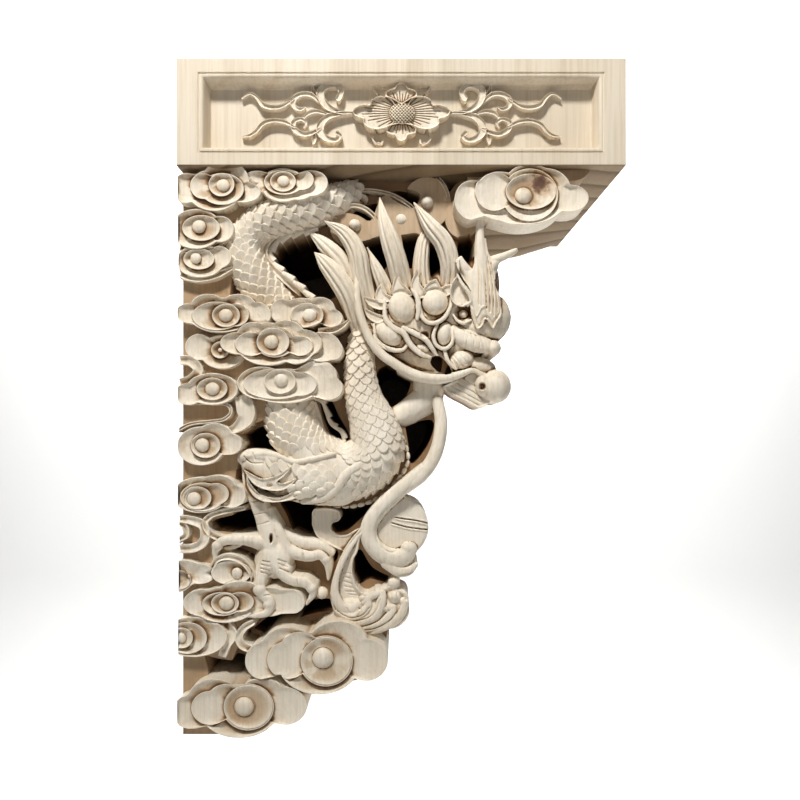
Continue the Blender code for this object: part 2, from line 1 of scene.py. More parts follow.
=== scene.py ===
# %% [markdown]
# # A carved beam bracket
#
# The real object is a wooden corbel: a short beam with a sunk flower panel, and under it a dragon
# that winds through clouds. It was glued up from boards of pale wood and carved as one piece.
# The solid model already fixes its size and its main forms. This lesson dresses it: every form is
# made again as fine mesh on the same places, with the chisel's crisp rims and the wood's grain.

# %% Load the solid model
import math

import bmesh
import bpy
import numpy as np
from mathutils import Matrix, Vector


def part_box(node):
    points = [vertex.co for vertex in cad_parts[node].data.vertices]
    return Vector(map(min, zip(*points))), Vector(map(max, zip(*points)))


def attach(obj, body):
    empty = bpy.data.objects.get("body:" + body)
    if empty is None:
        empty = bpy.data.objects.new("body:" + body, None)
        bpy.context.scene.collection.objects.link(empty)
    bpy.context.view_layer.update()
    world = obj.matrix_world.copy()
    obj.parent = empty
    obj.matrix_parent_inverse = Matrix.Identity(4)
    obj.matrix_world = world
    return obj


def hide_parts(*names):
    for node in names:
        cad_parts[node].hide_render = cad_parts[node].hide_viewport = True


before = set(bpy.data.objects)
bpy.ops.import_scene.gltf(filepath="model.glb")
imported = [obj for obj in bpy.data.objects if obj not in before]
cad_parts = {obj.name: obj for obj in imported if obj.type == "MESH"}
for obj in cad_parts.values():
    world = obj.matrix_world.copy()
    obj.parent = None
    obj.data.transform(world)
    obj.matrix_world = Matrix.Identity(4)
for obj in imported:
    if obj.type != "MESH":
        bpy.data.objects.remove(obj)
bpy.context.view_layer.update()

low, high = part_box("bracket")
print("solid model from", tuple(round(v, 3) for v in low), "to", tuple(round(v, 3) for v in high))

# %% [markdown]
# ## Where things are
#
# The forms are placed by the view that shows them best: straight at the front, from 459 mm away.
# A point of that view and a depth behind the front give one place in space, so a form can be set
# deeper or shallower and still line up. Pixels here are those of an 800 by 800 view of the front.

# %% Turn a view point and a depth into a place
FRONT = low[1]
BACK = high[1]
TOP = high[2]
BEAM_HEIGHT = 0.094
UNDERSIDE = TOP - BEAM_HEIGHT
MM = 0.001
PIXEL = 0.875 * MM
EYE_DISTANCE = 0.459
EYE_PIXEL = (398.0, 435.0)
COLUMN_PIXEL = 176.0
UNDERSIDE_PIXEL = 165.0
IMAGE_PIXELS = 800
EYE = Vector(((EYE_PIXEL[0] - COLUMN_PIXEL) * PIXEL, FRONT - EYE_DISTANCE,
              UNDERSIDE - (EYE_PIXEL[1] - UNDERSIDE_PIXEL) * PIXEL))


def spread(depth):
    """Metres that a pixel covers at a depth in millimetres behind the front."""
    return PIXEL * (1 + depth * MM / EYE_DISTANCE)


def seen(px, py, depth):
    """The places of view points at their depths, as an array of x, y, z."""
    px, py, depth = np.broadcast_arrays(np.asarray(px, float), np.asarray(py, float),
                                        np.asarray(depth, float))
    size = spread(depth)
    return np.stack([EYE.x + (px - EYE_PIXEL[0]) * size, FRONT + depth * MM,
                     EYE.z - (py - EYE_PIXEL[1]) * size], axis=-1)


BOX_LOW = np.array(low)
BOX_HIGH = np.array(high)


def inside_box(points):
    """Keep points within the block that the bracket was carved from."""
    return np.clip(points, BOX_LOW, BOX_HIGH)


# %% [markdown]
# ## The camera
#
# The camera stands where the eye was. Its lens covers 700 mm of the front plane across the image,
# and a small shift raises the view, because the eye was below the middle of the picture.

# %% Make the camera
SENSOR = 36.0
camera_data = bpy.data.cameras.new("front_view")
camera_data.sensor_width = SENSOR
camera_data.lens = SENSOR * EYE_DISTANCE / (IMAGE_PIXELS * PIXEL)
camera_data.shift_x = (IMAGE_PIXELS / 2 - EYE_PIXEL[0]) / IMAGE_PIXELS
camera_data.shift_y = (EYE_PIXEL[1] - IMAGE_PIXELS / 2) / IMAGE_PIXELS
camera_data.clip_start = 0.02
camera = bpy.data.objects.new("front_view", camera_data)
camera.location = EYE
camera.rotation_euler = (math.pi / 2, 0.0, 0.0)
bpy.context.scene.collection.objects.link(camera)
bpy.context.scene.camera = camera
print("camera at", tuple(round(v, 3) for v in EYE), "lens", round(camera_data.lens, 1))

# %% [markdown]
# ## The wood
#
# The bracket is bare, pale softwood. Its growth rings are cylinders about an upright axis, so they
# show as upright stripes on the front and as arcs underneath. A rings wave about Z gives both at
# once, and noise stretched along Z adds the fibres. The chisel leaves small facets, which a low
# noise bump gives. Painted shade darkens the deep hollows, the crevices and the beam's underside,
# and a painted highlight lightens the proud edges.

# %% Build the wood materials
PITH = (0.34, 0.30, 0.0)
RING_SPACING = 0.0042
WOOD_PALE = (0.80, 0.715, 0.585, 1.0)
WOOD_TAN = (0.68, 0.56, 0.41, 1.0)
KNOT = (0.3190, -0.097, 0.1915)
WHITE = (1, 1, 1)
DEEP_SHADE_BROWN = (0.10, 0.065, 0.04)
BOARD_TONES = [(0.0, WHITE), (0.23, WHITE), (0.2306, (0.9, 0.9, 0.88)), (0.262, (0.93, 0.93, 0.91)),
    (0.3, (0.99, 0.98, 0.97)), (0.394, (0.95, 0.94, 0.92))]
RING_TONES = [(0.0, WHITE), (0.72, (0.96, 0.95, 0.93)), (0.93, (0.86, 0.82, 0.76)),
    (1.0, (0.97, 0.96, 0.94))]
PATCH_TONES = [(0.35, (0, 0, 0)), (0.75, (0.5, 0.5, 0.5))]
STREAK_TONES = [(0.30, (0.83, 0.79, 0.73)), (0.62, WHITE)]
FIBRE_TONES = [(0.28, (0.74, 0.68, 0.60)), (0.55, WHITE)]
UNDERSIDE_SHADE_TONES = [(0.0, (0.46, 0.39, 0.31)), (0.6, (0.38, 0.31, 0.24)), (0.9, (0.22, 0.17, 0.12)),
    (1.0, (0.44, 0.37, 0.29))]
KNOT_TONES = [(0.014, (0.17, 0.1, 0.08)), (0.0165, (0.45, 0.3, 0.21)), (0.0195, (0.8, 0.69, 0.58)),
    (0.027, WHITE)]
CREVICE_SHADE_AND_HIGHLIGHT_TONES = [(0.0, (0.22, 0.13, 0.075)), (0.16, (0.46, 0.33, 0.22)), (0.3, (0.72, 0.6, 0.48)),
    (0.46, (0.92, 0.88, 0.83)), (0.62, (1.04, 1.05, 1.06)), (1.0, (1.16, 1.2, 1.26))]


def node(tree, kind, place=(0, 0), **values):
    """Add a shader node; values set its own options or its input sockets by name."""
    made = tree.nodes.new(kind)
    made.location = place
    for name, value in values.items():
        if hasattr(made, name):
            setattr(made, name, value)
        else:
            made.inputs[name.replace("_", " ")].default_value = value
    return made


def ramp(tree, source, stops):
    """A colour ramp fed by a socket; stops are (position, (red, green, blue))."""
    made = tree.nodes.new("ShaderNodeValToRGB")
    while len(made.color_ramp.elements) < len(stops):
        made.color_ramp.elements.new(0.5)
    for element, (position, colour) in zip(made.color_ramp.elements, stops):
        element.position = position
        element.color = (*colour, 1)
    tree.links.new(source, made.inputs["Fac"])
    return made.outputs["Color"]


def blend_colours(tree, kind, amount, first, second):
    """Mix two colours; amount, first and second are sockets or plain values."""
    made = tree.nodes.new("ShaderNodeMix")
    made.data_type = "RGBA"
    made.blend_type = kind
    for socket, value in ((0, amount), (6, first), (7, second)):
        if hasattr(value, "is_linked"):
            tree.links.new(value, made.inputs[socket])
        else:
            made.inputs[socket].default_value = value
    return made.outputs[2]


def noise(tree, coordinates, stretch, scale, detail=3.0, roughness=0.55):
    """Noise on stretched coordinates: stretch is a scale along X, Y and Z."""
    mapping = node(tree, "ShaderNodeMapping")
    mapping.inputs["Scale"].default_value = stretch
    tree.links.new(coordinates, mapping.inputs["Vector"])
    texture = node(tree, "ShaderNodeTexNoise", Scale=scale, Detail=detail, Roughness=roughness)
    tree.links.new(mapping.outputs["Vector"], texture.inputs["Vector"])
    return texture.outputs["Fac"]


def depth_shade(tree, coordinates, near, far):
    """Painted shade: white near the front, dark brown beyond two depths in millimetres, white at the back."""
    last = (BACK - FRONT) / MM - 8
    split = node(tree, "ShaderNodeSeparateXYZ")
    tree.links.new(coordinates, split.inputs[0])
    reach = node(tree, "ShaderNodeMapRange")
    reach.inputs["From Min"].default_value = FRONT + near * MM
    reach.inputs["From Max"].default_value = FRONT + last * MM
    tree.links.new(split.outputs["Y"], reach.inputs["Value"])
    full = (far - near) / (last - near)
    return ramp(tree, reach.outputs[0], [(0.0, WHITE), (full * 0.45, (0.55, 0.46, 0.36)), (full, DEEP_SHADE_BROWN),
                                         (0.80, DEEP_SHADE_BROWN), (0.88, WHITE)])


def knot_shade(tree, coordinates):
    """A dark branch knot: brown rings about one place, made uneven by noise."""
    gap = node(tree, "ShaderNodeVectorMath", operation="DISTANCE")
    gap.inputs[1].default_value = KNOT
    tree.links.new(coordinates, gap.inputs[0])
    uneven = node(tree, "ShaderNodeMath", operation="MULTIPLY_ADD")
    tree.links.new(noise(tree, coordinates, (1.0, 1.0, 1.0), 190.0, 3.0), uneven.inputs[0])
    uneven.inputs[1].default_value = 0.020
    tree.links.new(gap.outputs["Value"], uneven.inputs[2])
    return ramp(tree, uneven.outputs[0], KNOT_TONES)


def wood_material(name, chisel, chisel_size, shade=(26.0, 75.0), two_boards=False, pockets=False):
    """Bare wood with rings about an upright pith, fibres along Z and chisel marks."""
    material = bpy.data.materials.new(name)
    material.use_nodes = True
    tree = material.node_tree
    shader = tree.nodes["Principled BSDF"]
    shader.inputs["Roughness"].default_value = 0.62
    shader.inputs["Specular IOR Level"].default_value = 0.28
    coordinates = node(tree, "ShaderNodeTexCoord").outputs["Object"]
    centred = node(tree, "ShaderNodeMapping")
    centred.inputs["Location"].default_value = (-PITH[0], -PITH[1], 0.0)
    tree.links.new(coordinates, centred.inputs["Vector"])
    rings = node(tree, "ShaderNodeTexWave", wave_type="RINGS", rings_direction="Z", wave_profile="SAW",
                 Scale=1 / (RING_SPACING * 20), Distortion=2.2, Detail=2.0)
    rings.inputs["Detail Scale"].default_value = 0.7
    tree.links.new(centred.outputs["Vector"], rings.inputs["Vector"])
    fibres = noise(tree, coordinates, (420.0, 420.0, 12.0), 1.0, 4.0)
    streaks = noise(tree, coordinates, (46.0, 46.0, 3.2), 1.0, 3.0)
    patches = noise(tree, coordinates, (9.0, 9.0, 5.0), 1.0, 2.0)
    base = blend_colours(tree, "MIX", ramp(tree, patches, PATCH_TONES), WOOD_PALE, WOOD_TAN)
    for source, amount, tones in ((rings.outputs["Fac"], 0.62 if two_boards else 0.26, RING_TONES),
                                  (streaks, 0.55, STREAK_TONES), (fibres, 0.45, FIBRE_TONES)):
        base = blend_colours(tree, "MULTIPLY", amount, base, ramp(tree, source, tones))
    if two_boards:
        split = node(tree, "ShaderNodeSeparateXYZ")
        tree.links.new(coordinates, split.inputs[0])
        base = blend_colours(tree, "MULTIPLY", 1.0, base, ramp(tree, split.outputs["X"], BOARD_TONES))
        # The beam's underside gets painted shade: brown tones laid over the ring pattern.
        under = node(tree, "ShaderNodeMapRange")
        under.inputs["From Min"].default_value = UNDERSIDE + 0.5 * MM
        under.inputs["From Max"].default_value = UNDERSIDE + 0.2 * MM
        tree.links.new(split.outputs["Z"], under.inputs["Value"])
        base = blend_colours(tree, "MULTIPLY", under.outputs[0], base,
                             ramp(tree, rings.outputs["Fac"], UNDERSIDE_SHADE_TONES))
    else:
        base = blend_colours(tree, "MULTIPLY", 1.0, base, knot_shade(tree, coordinates))
        # Painted shade in crevices and a painted highlight on proud edges, read from the crevice values.
        crevice_shade_and_highlight = node(tree, "ShaderNodeAttribute", attribute_name="crevice")
        base = blend_colours(tree, "MULTIPLY", 1.0, base, ramp(tree, crevice_shade_and_highlight.outputs["Fac"], CREVICE_SHADE_AND_HIGHLIGHT_TONES))
        # Deep parts get the painted shade by depth; on the hollow wood only the hollows' faces get it.
        hollow_shade_mask = node(tree, "ShaderNodeAttribute", attribute_name="pocket").outputs["Fac"] if pockets else 1.0
        base = blend_colours(tree, "MULTIPLY", hollow_shade_mask, base, depth_shade(tree, coordinates, *shade))
    tree.links.new(base, shader.inputs["Base Color"])
    marks = noise(tree, coordinates, (1.0, 1.0, 0.7), chisel_size, 2.0)
    height = node(tree, "ShaderNodeMath", operation="MULTIPLY_ADD")
    tree.links.new(fibres, height.inputs[0])
    height.inputs[1].default_value = 0.35
    tree.links.new(marks, height.inputs[2])
    bump = node(tree, "ShaderNodeBump", Strength=0.55, Distance=chisel)
    tree.links.new(height.outputs[0], bump.inputs["Height"])
    tree.links.new(bump.outputs["Normal"], shader.inputs["Normal"])
    return material


# Painted shade by depth: carved wood from 26 to 75 mm deep, and the ground only on its hollows' faces.
wood = wood_material("carved_wood", 0.0015, 230.0)
beam_wood = wood_material("planed_wood", 0.0003, 160.0, two_boards=True)
hollow_wood = wood_material("hollow_wood", 0.0018, 120.0, shade=(24.0, 46.0), pockets=True)
print("materials:", wood.name, beam_wood.name, hollow_wood.name)

# %% [markdown]
# ## Tools for making mesh
#
# Nearly every form here is a grid of points wrapped into a closed skin: a tube is rows of points
# around a path, a cloud is rings of points around a ball. One function turns such a grid into a
# mesh, and makes sure that its faces point outwards.

# %% Grids into closed meshes
pieces = []


def mesh_object(name, points, faces, linked=True):
    """A new object at the origin whose mesh has these points and faces."""
    mesh = bpy.data.meshes.new(name)
    mesh.from_pydata(np.asarray(points).tolist(), [], faces)
    mesh.update()
    made = bpy.data.objects.new(name, mesh)
    if linked:
        bpy.context.scene.collection.objects.link(made)
    return made


def apply_modifiers(piece):
    """Give an object the mesh that its modifiers make, and drop them."""
    graph = bpy.context.evaluated_depsgraph_get()
    made = bpy.data.meshes.new_from_object(piece.evaluated_get(graph))
    piece.modifiers.clear()
    piece.data = made
    return made


def add_piece(name, points, faces, material):
    """A piece of the bracket, kept inside the block, smooth and in one material."""
    piece = mesh_object(name, inside_box(np.asarray(points)), faces)
    piece.data.materials.append(material)
    piece.data.shade_smooth()
    pieces.append(piece)
    return piece


def grid_faces(rows, columns, start=0):
    """Quads between the rows of a grid whose columns run round and meet."""
    faces = []
    for row in range(rows - 1):
        base = start + row * columns
        for column in range(columns):
            after = (column + 1) % columns
            faces.append((base + column, base + after, base + columns + after, base + columns + column))
    return faces


def closed_skin(grid):
    """Points and faces of a grid (rows, columns, 3), closed by a fan at each end, facing outwards."""
    rows, columns = grid.shape[:2]
    points = grid.reshape(-1, 3)
    first, last = len(points), len(points) + 1
    points = np.vstack([points, grid[0].mean(axis=0), grid[-1].mean(axis=0)])
    faces = grid_faces(rows, columns)
    tail = (rows - 1) * columns
    for column in range(columns):
        after = (column + 1) % columns
        faces.append((first, after, column))
        faces.append((last, tail + column, tail + after))
    if signed_volume(points, faces) < 0:
        faces = [face[::-1] for face in faces]
    return points, faces


def signed_volume(points, faces):
    """Six times the volume inside a skin of quads and triangles, negative where it faces inwards."""
    total = 0.0
    quads = np.array([face for face in faces if len(face) == 4])
    fans = np.array([face for face in faces if len(face) == 3])
    for corners, picks in ((quads, ((0, 1, 2), (0, 2, 3))), (fans, ((0, 1, 2),))):
        if len(corners) == 0:
            continue
        for a, b, c in picks:
            p, q, r = points[corners[:, a]], points[corners[:, b]], points[corners[:, c]]
            total += float(np.einsum("ij,ij->i", p, np.cross(q, r)).sum())
    return total


def join_skins(skins):
    """Several skins as one list of points and faces."""
    points = []
    faces = []
    count = 0
    for skin_points, skin_faces in skins:
        points.append(skin_points)
        faces += [tuple(index + count for index in face) for face in skin_faces]
        count += len(skin_points)
    return np.vstack(points), faces


# %% Smooth routes and tubes along them
def smooth_route(stops, gap):
    """A smooth curve through the stops (rows of numbers), with a row about every gap pixels."""
    stops = np.asarray(stops, float)
    ends = np.vstack([2 * stops[0] - stops[1], stops, 2 * stops[-1] - stops[-2]])
    rows = []
    for index in range(len(stops) - 1):
        before, start, end, after = ends[index:index + 4]
        steps = max(2, int(np.linalg.norm((end - start)[:2]) / gap))
        t = (np.arange(steps) / steps)[:, None]
        bend = 2 * before - 5 * start + 4 * end - after
        twist = 3 * start - before - 3 * end + after
        rows.append(0.5 * (2 * start + (end - before) * t + bend * t ** 2 + twist * t ** 3))
    rows.append(stops[-1:])
    return np.vstack(rows)


def unit(vectors):
    """The same directions, one unit long."""
    return vectors / np.maximum(np.linalg.norm(vectors, axis=-1, keepdims=True), 1e-12)


def route_frames(centres):
    """Along a route: its direction, the sideways vector, and the one that faces the front."""
    ahead = unit(np.gradient(centres, axis=0))
    front = np.array([0.0, -1.0, 0.0])
    facing = unit(front - ahead * (ahead @ front)[:, None])
    return ahead, np.cross(ahead, facing), facing


def travelled(centres):
    """The distance walked along a route up to each of its points."""
    return np.concatenate([[0], np.cumsum(np.linalg.norm(np.diff(centres, axis=0), axis=1))])


def tube_grid(stops, gap=1.2, around=24, flatness=1.0, shape=None):
    """Points round a route of (px, py, depth in mm, radius in px); shape scales the radius."""
    rows = smooth_route(stops, gap)
    centres = seen(rows[:, 0], rows[:, 1], rows[:, 2])
    radius = np.maximum(rows[:, 3], 0.25) * spread(rows[:, 2])
    ahead, sideways, facing = route_frames(centres)
    angles = 2 * np.pi * np.arange(around) / around
    reach = np.repeat(radius[:, None], around, axis=1)
    if shape:
        along = np.linspace(0.0, 1.0, len(rows))[:, None]
        reach = reach * shape(angles[None, :], along)
    return (centres[:, None, :] + (reach * np.sin(angles))[:, :, None] * sideways[:, None, :]
            + (reach * np.cos(angles) * flatness)[:, :, None] * facing[:, None, :])


def tube(stops, **options):
    """A closed tube, with the options of tube_grid."""
    return closed_skin(tube_grid(stops, **options))


def dome(px, py, depth, half_w, half_h, half_depth, turn=0.0, around=32, rings=16):
    """An egg of half sizes in pixels (its depth in millimetres), turned in the front plane by degrees."""
    size = float(spread(depth))
    centre = seen(px, py, depth)
    polar = np.linspace(0.02, math.pi - 0.02, rings)[:, None]
    angles = (2 * np.pi * np.arange(around) / around)[None, :]
    x = np.sin(polar) * np.cos(angles) * half_w * size
    z = np.sin(polar) * np.sin(angles) * half_h * size
    y = -np.cos(polar) * np.ones_like(angles) * half_depth * MM
    lean = math.radians(turn)
    grid = np.stack([x * math.cos(lean) - z * math.sin(lean), y, x * math.sin(lean) + z * math.cos(lean)],
                    axis=-1)
    return closed_skin(grid + centre)


# %% [markdown]
# ## Clouds
#
# Each cloud is a lobed plate whose face is dished, with a crisp rim, and inside it a smaller lobed
# tier, a ring and a ball. Seen from the ball, every edge is one distance at each angle, so a cloud
# is a set of rings: for each tier a rim, a dish that falls towards the next tier, and a small wall
# up to that tier's own rim. Where another cloud lies in front, the surface is pushed down under it.

# %% Edges of lobed shapes
def lobe_reach(angles, start, lobes):
    """How far the edge of overlapping ellipses is from a start point, at each angle (pixels)."""
    best = np.zeros_like(angles)
    for x, y, half_w, half_h in lobes:
        run_x, run_y = np.cos(angles) / half_w, np.sin(angles) / half_h
        gap_x, gap_y = (start[0] - x) / half_w, (start[1] - y) / half_h
        a = run_x ** 2 + run_y ** 2
        b = 2 * (run_x * gap_x + run_y * gap_y)
        c = gap_x ** 2 + gap_y ** 2 - 1
        root = b * b - 4 * a * c
        hit = np.where(root > 0, (-b + np.sqrt(np.maximum(root, 0))) / (2 * a), 0.0)
        best = np.maximum(best, hit)
    return best


CLOUD_AROUND = 132
RIM = 0.9
DISH = 3.8
TIER_GAP = 0.35
TIER_STEP = 0.25
CLOUD_FOOT = 30.0
BALL_FLATNESS = 0.62
DISH_STEPS = (0.9, 0.72, 0.5, 0.28, 0.1, 0.0)
BALL_STEPS = (0.96, 0.86, 0.7, 0.5, 0.3, 0.12)


def cloud_grid(cloud, in_front):
    """The skin of one cloud; in_front are clouds that hide parts of it."""
    ball_x, ball_y, ball_r = cloud["ball"]
    lip = cloud["lip"]
    angles = 2 * np.pi * np.arange(CLOUD_AROUND) / CLOUD_AROUND
    start = (ball_x, ball_y)
    edges = [lobe_reach(angles, start, lobes) for lobes in cloud["tiers"]]
    for outer, inner in zip(edges, edges[1:]):
        np.minimum(inner, outer - TIER_GAP, out=inner)
    edges.append(np.minimum(np.full_like(angles, ball_r), edges[-1] - 1.6))
    foot = cloud.get("foot", CLOUD_FOOT)
    radii = [edges[0] * 0.985, edges[0], edges[0]]
    depths = [np.full_like(angles, depth) for depth in (foot, foot - 1.0, lip + 1.0)]
    for tier, (outer, inner) in enumerate(zip(edges, edges[1:])):
        level = lip - TIER_STEP * tier
        width = outer - inner
        drop = np.minimum(DISH, 0.5 * width)
        edge = np.minimum(RIM, width * 0.4)
        radii += [outer - edge * 0.15, outer - edge * 0.55, outer - edge]
        depths += [np.full_like(angles, level + deeper) for deeper in (0.25, 0.0, 0.2)]
        for u in DISH_STEPS:
            radii.append(inner + (width - edge) * u)
            depths.append(level + drop * (1 - u ** 2.2))
        radii.append(inner - edge * 0.1)
        depths.append(level + drop * 0.9)
    ball = edges[-1]
    top = lip - 0.6
    for u in BALL_STEPS:
        radii.append(ball * u)
        depths.append(np.full_like(angles, top + ball_r * BALL_FLATNESS * (1 - math.sqrt(1 - u * u))))
    radii = np.array(radii)
    depths = np.array(depths)
    px = ball_x + radii * np.cos(angles)
    py = ball_y + radii * np.sin(angles)
    for other in in_front:
        centre = other["ball"][:2]
        bearing = np.arctan2(py - centre[1], px - centre[0])
        distance = np.hypot(px - centre[0], py - centre[1])
        inside = lobe_reach(bearing, centre, other["tiers"][0]) - distance
        sunk = other["lip"] + DISH + 3.0
        push = np.clip(inside / 1.2 + 0.6, 0, 1)
        depths = np.where(push > 0, np.maximum(depths, depths + (sunk - depths) * push), depths)
    grid = seen(px, py, depths)
    grid[:2] = grid[2:3]
    grid[:2, :, 1] = FRONT + depths[:2] * MM
    return inside_box(grid)


# %% Lay out the clouds, front ones first
CLOUDS = {
    "mid_g": dict(lip=1.0, ball=(271, 342, 7.4), tiers=[[(268, 344, 32, 21.5), (237, 343, 17, 11),
        (303, 343, 19, 13.5), (254, 335, 17, 13), (286, 334, 18, 14), (296, 351, 17, 13)],
        [(275, 342, 20, 15.5), (251, 344, 16, 12), (300, 346, 13, 10)], [(273, 342, 16.5, 14)]]),
    "mid_shoulder": dict(lip=3.4, ball=(318, 345, 2.4), tiers=[[(322, 347, 19, 15), (300, 347, 26, 15),
        (334, 350, 9, 10)]]),
    "mid_h": dict(lip=2.0, ball=(281, 380, 7.2), tiers=[[(284, 386, 36, 17.5), (262, 383, 25, 16.5),
        (318, 376, 19, 16), (328, 388, 15, 12)], [(276, 384, 33, 15.5), (300, 384, 17, 12)],
        [(280, 381.5, 16, 12.6)]]),
    "mid_e": dict(lip=3.0, ball=(225.6, 315.3, 7.8), tiers=[[(221, 315, 33, 17.5), (190, 313, 15, 10),
        (256, 315, 15, 13), (238, 306, 18, 12), (208, 305, 17, 11)], [(217, 316, 25, 14.5),
        (236, 315, 13, 11.5)], [(226, 315.5, 14, 11.8)]]),
    "mid_f": dict(lip=4.4, ball=(309.7, 315.3, 7), tiers=[[(302, 313, 24, 15), (282, 311, 12, 12),
        (320, 309, 15, 12), (331, 318, 12, 9)], [(307, 315.5, 16.5, 12.6)]]),
    "top_a": dict(lip=3.0, ball=(223.6, 185.6, 7.2), tiers=[[(214, 190, 27, 21), (186, 188, 15, 15),
        (243, 192, 18, 10.5), (225, 182, 24, 22)], [(222, 189, 22, 16), (203, 186, 13, 13)],
        [(221.5, 184.5, 13, 12)]]),
    "top_b": dict(lip=3.4, ball=(283.3, 181, 6.4), tiers=[[(283, 185, 22, 17), (257, 182, 15, 11.5),
        (311, 183, 17, 13), (298, 189, 16, 11)], [(284, 182, 20, 13), (302, 180, 12, 10)],
        [(283, 181.5, 13, 10.4)]]),
    "left_c": dict(lip=4.0, ball=(199, 226.4, 7), tiers=[[(196, 229, 26, 20), (220, 229, 14, 13)],
        [(201, 228, 19, 13)]]),
    "left_d": dict(lip=5.0, ball=(195.8, 258.3, 5.6), tiers=[[(200, 261, 24, 16.5), (219, 257, 12.5, 11)],
        [(198.8, 259, 15.6, 10.6)]]),
    "left_i": dict(lip=4.0, ball=(212.5, 388.9, 7.5), tiers=[[(212, 389, 26, 16), (188, 394, 14, 11)],
        [(212, 389, 15.5, 11.4)]]),
    "left_j": dict(lip=6.5, ball=(220, 350, 2), tiers=[[(222, 352, 22, 17), (199, 347, 14, 13)],
        [(220, 350, 9, 8.5)]]),
    "left_l": dict(lip=4.0, ball=(201.8, 445, 7.7), tiers=[[(201, 446, 24, 19.5), (228, 444, 14, 11),
        (214, 436, 18, 13)], [(205.5, 445.5, 15, 12.6)]]),
    "left_m": dict(lip=4.0, ball=(193.8, 498.7, 7.5), tiers=[[(200, 495, 28, 18), (230, 496, 16, 12),
        (216, 487, 20, 12)], [(202, 497, 22, 14.5), (216, 494, 13, 11)], [(197, 498, 14.5, 11.6)]]),
    "low_n": dict(lip=5.0, ball=(226.6, 603.2, 8.6), tiers=[[(224, 605, 31, 18), (202, 603, 19, 13.5),
        (240, 596, 24, 15), (268, 602, 23, 14.5), (290, 602, 15, 12.5)], [(222, 604, 20, 12),
        (240, 602, 14, 10)], [(225, 603.4, 14, 10.6)]]),
    "low_o": dict(lip=6.0, ball=(237, 573, 5.5), tiers=[[(231, 573, 20, 12)]]),
    "low_p": dict(lip=6.0, ball=(190, 576, 2.4), tiers=[[(183, 573, 22, 13), (200, 574, 15, 10),
        (178, 580, 14, 12)], [(178, 580, 13, 10)]]),
    "low_q": dict(lip=5.0, ball=(181, 638, 5.2), tiers=[[(193, 637, 34, 20)], [(187, 638, 20, 16)],
        [(182, 638, 11, 10.5)]]),
    "foot_r": dict(lip=1.5, foot=70, ball=(323, 658, 11.7), tiers=[[(319, 663, 41, 31.5), (264, 661, 19, 19),
        (366, 660, 22, 21), (288, 648, 27, 21), (338, 645, 30, 24)], [(326, 661, 27, 25.5),
        (288, 660, 21, 19), (300, 648, 20, 16)], [(326, 661, 25.5, 24)]]),
    "foot_s": dict(lip=2.5, foot=110, ball=(244, 706.7, 11), tiers=[[(239, 711, 39, 27), (191, 712, 20, 17),
        (285, 706, 22, 19), (262, 697, 24, 19), (214, 698, 26, 19)], [(248, 707, 26, 23.5),
        (210, 708, 19, 17), (226, 698, 18, 14)], [(248, 707, 24.5, 22)]]),
    "nose_t": dict(lip=1.2, foot=24, ball=(523.3, 195.8, 9.2), tiers=[[(523, 199, 44, 26),
        (472, 200, 17.5, 20), (570, 198, 18.8, 13.5), (545, 190, 26, 22), (530, 184, 25, 20.5),
        (500, 190, 24, 18.5), (505, 203, 30, 18)], [(530, 195, 28.3, 26.6), (494, 191, 19, 20)],
        [(531, 191.5, 25.3, 18)]])}

cloud_skins = []
front_ones = []
for cloud in CLOUDS.values():
    cloud_skins.append(closed_skin(cloud_grid(cloud, front_ones)))
    front_ones.append(cloud)
half = len(cloud_skins) // 2
for number, part in enumerate((cloud_skins[:half], cloud_skins[half:])):
    add_piece(f"clouds_{number + 1}", *join_skins(part), wood)
print("clouds:", len(cloud_skins), "faces:", sum(len(skin[1]) for skin in cloud_skins))
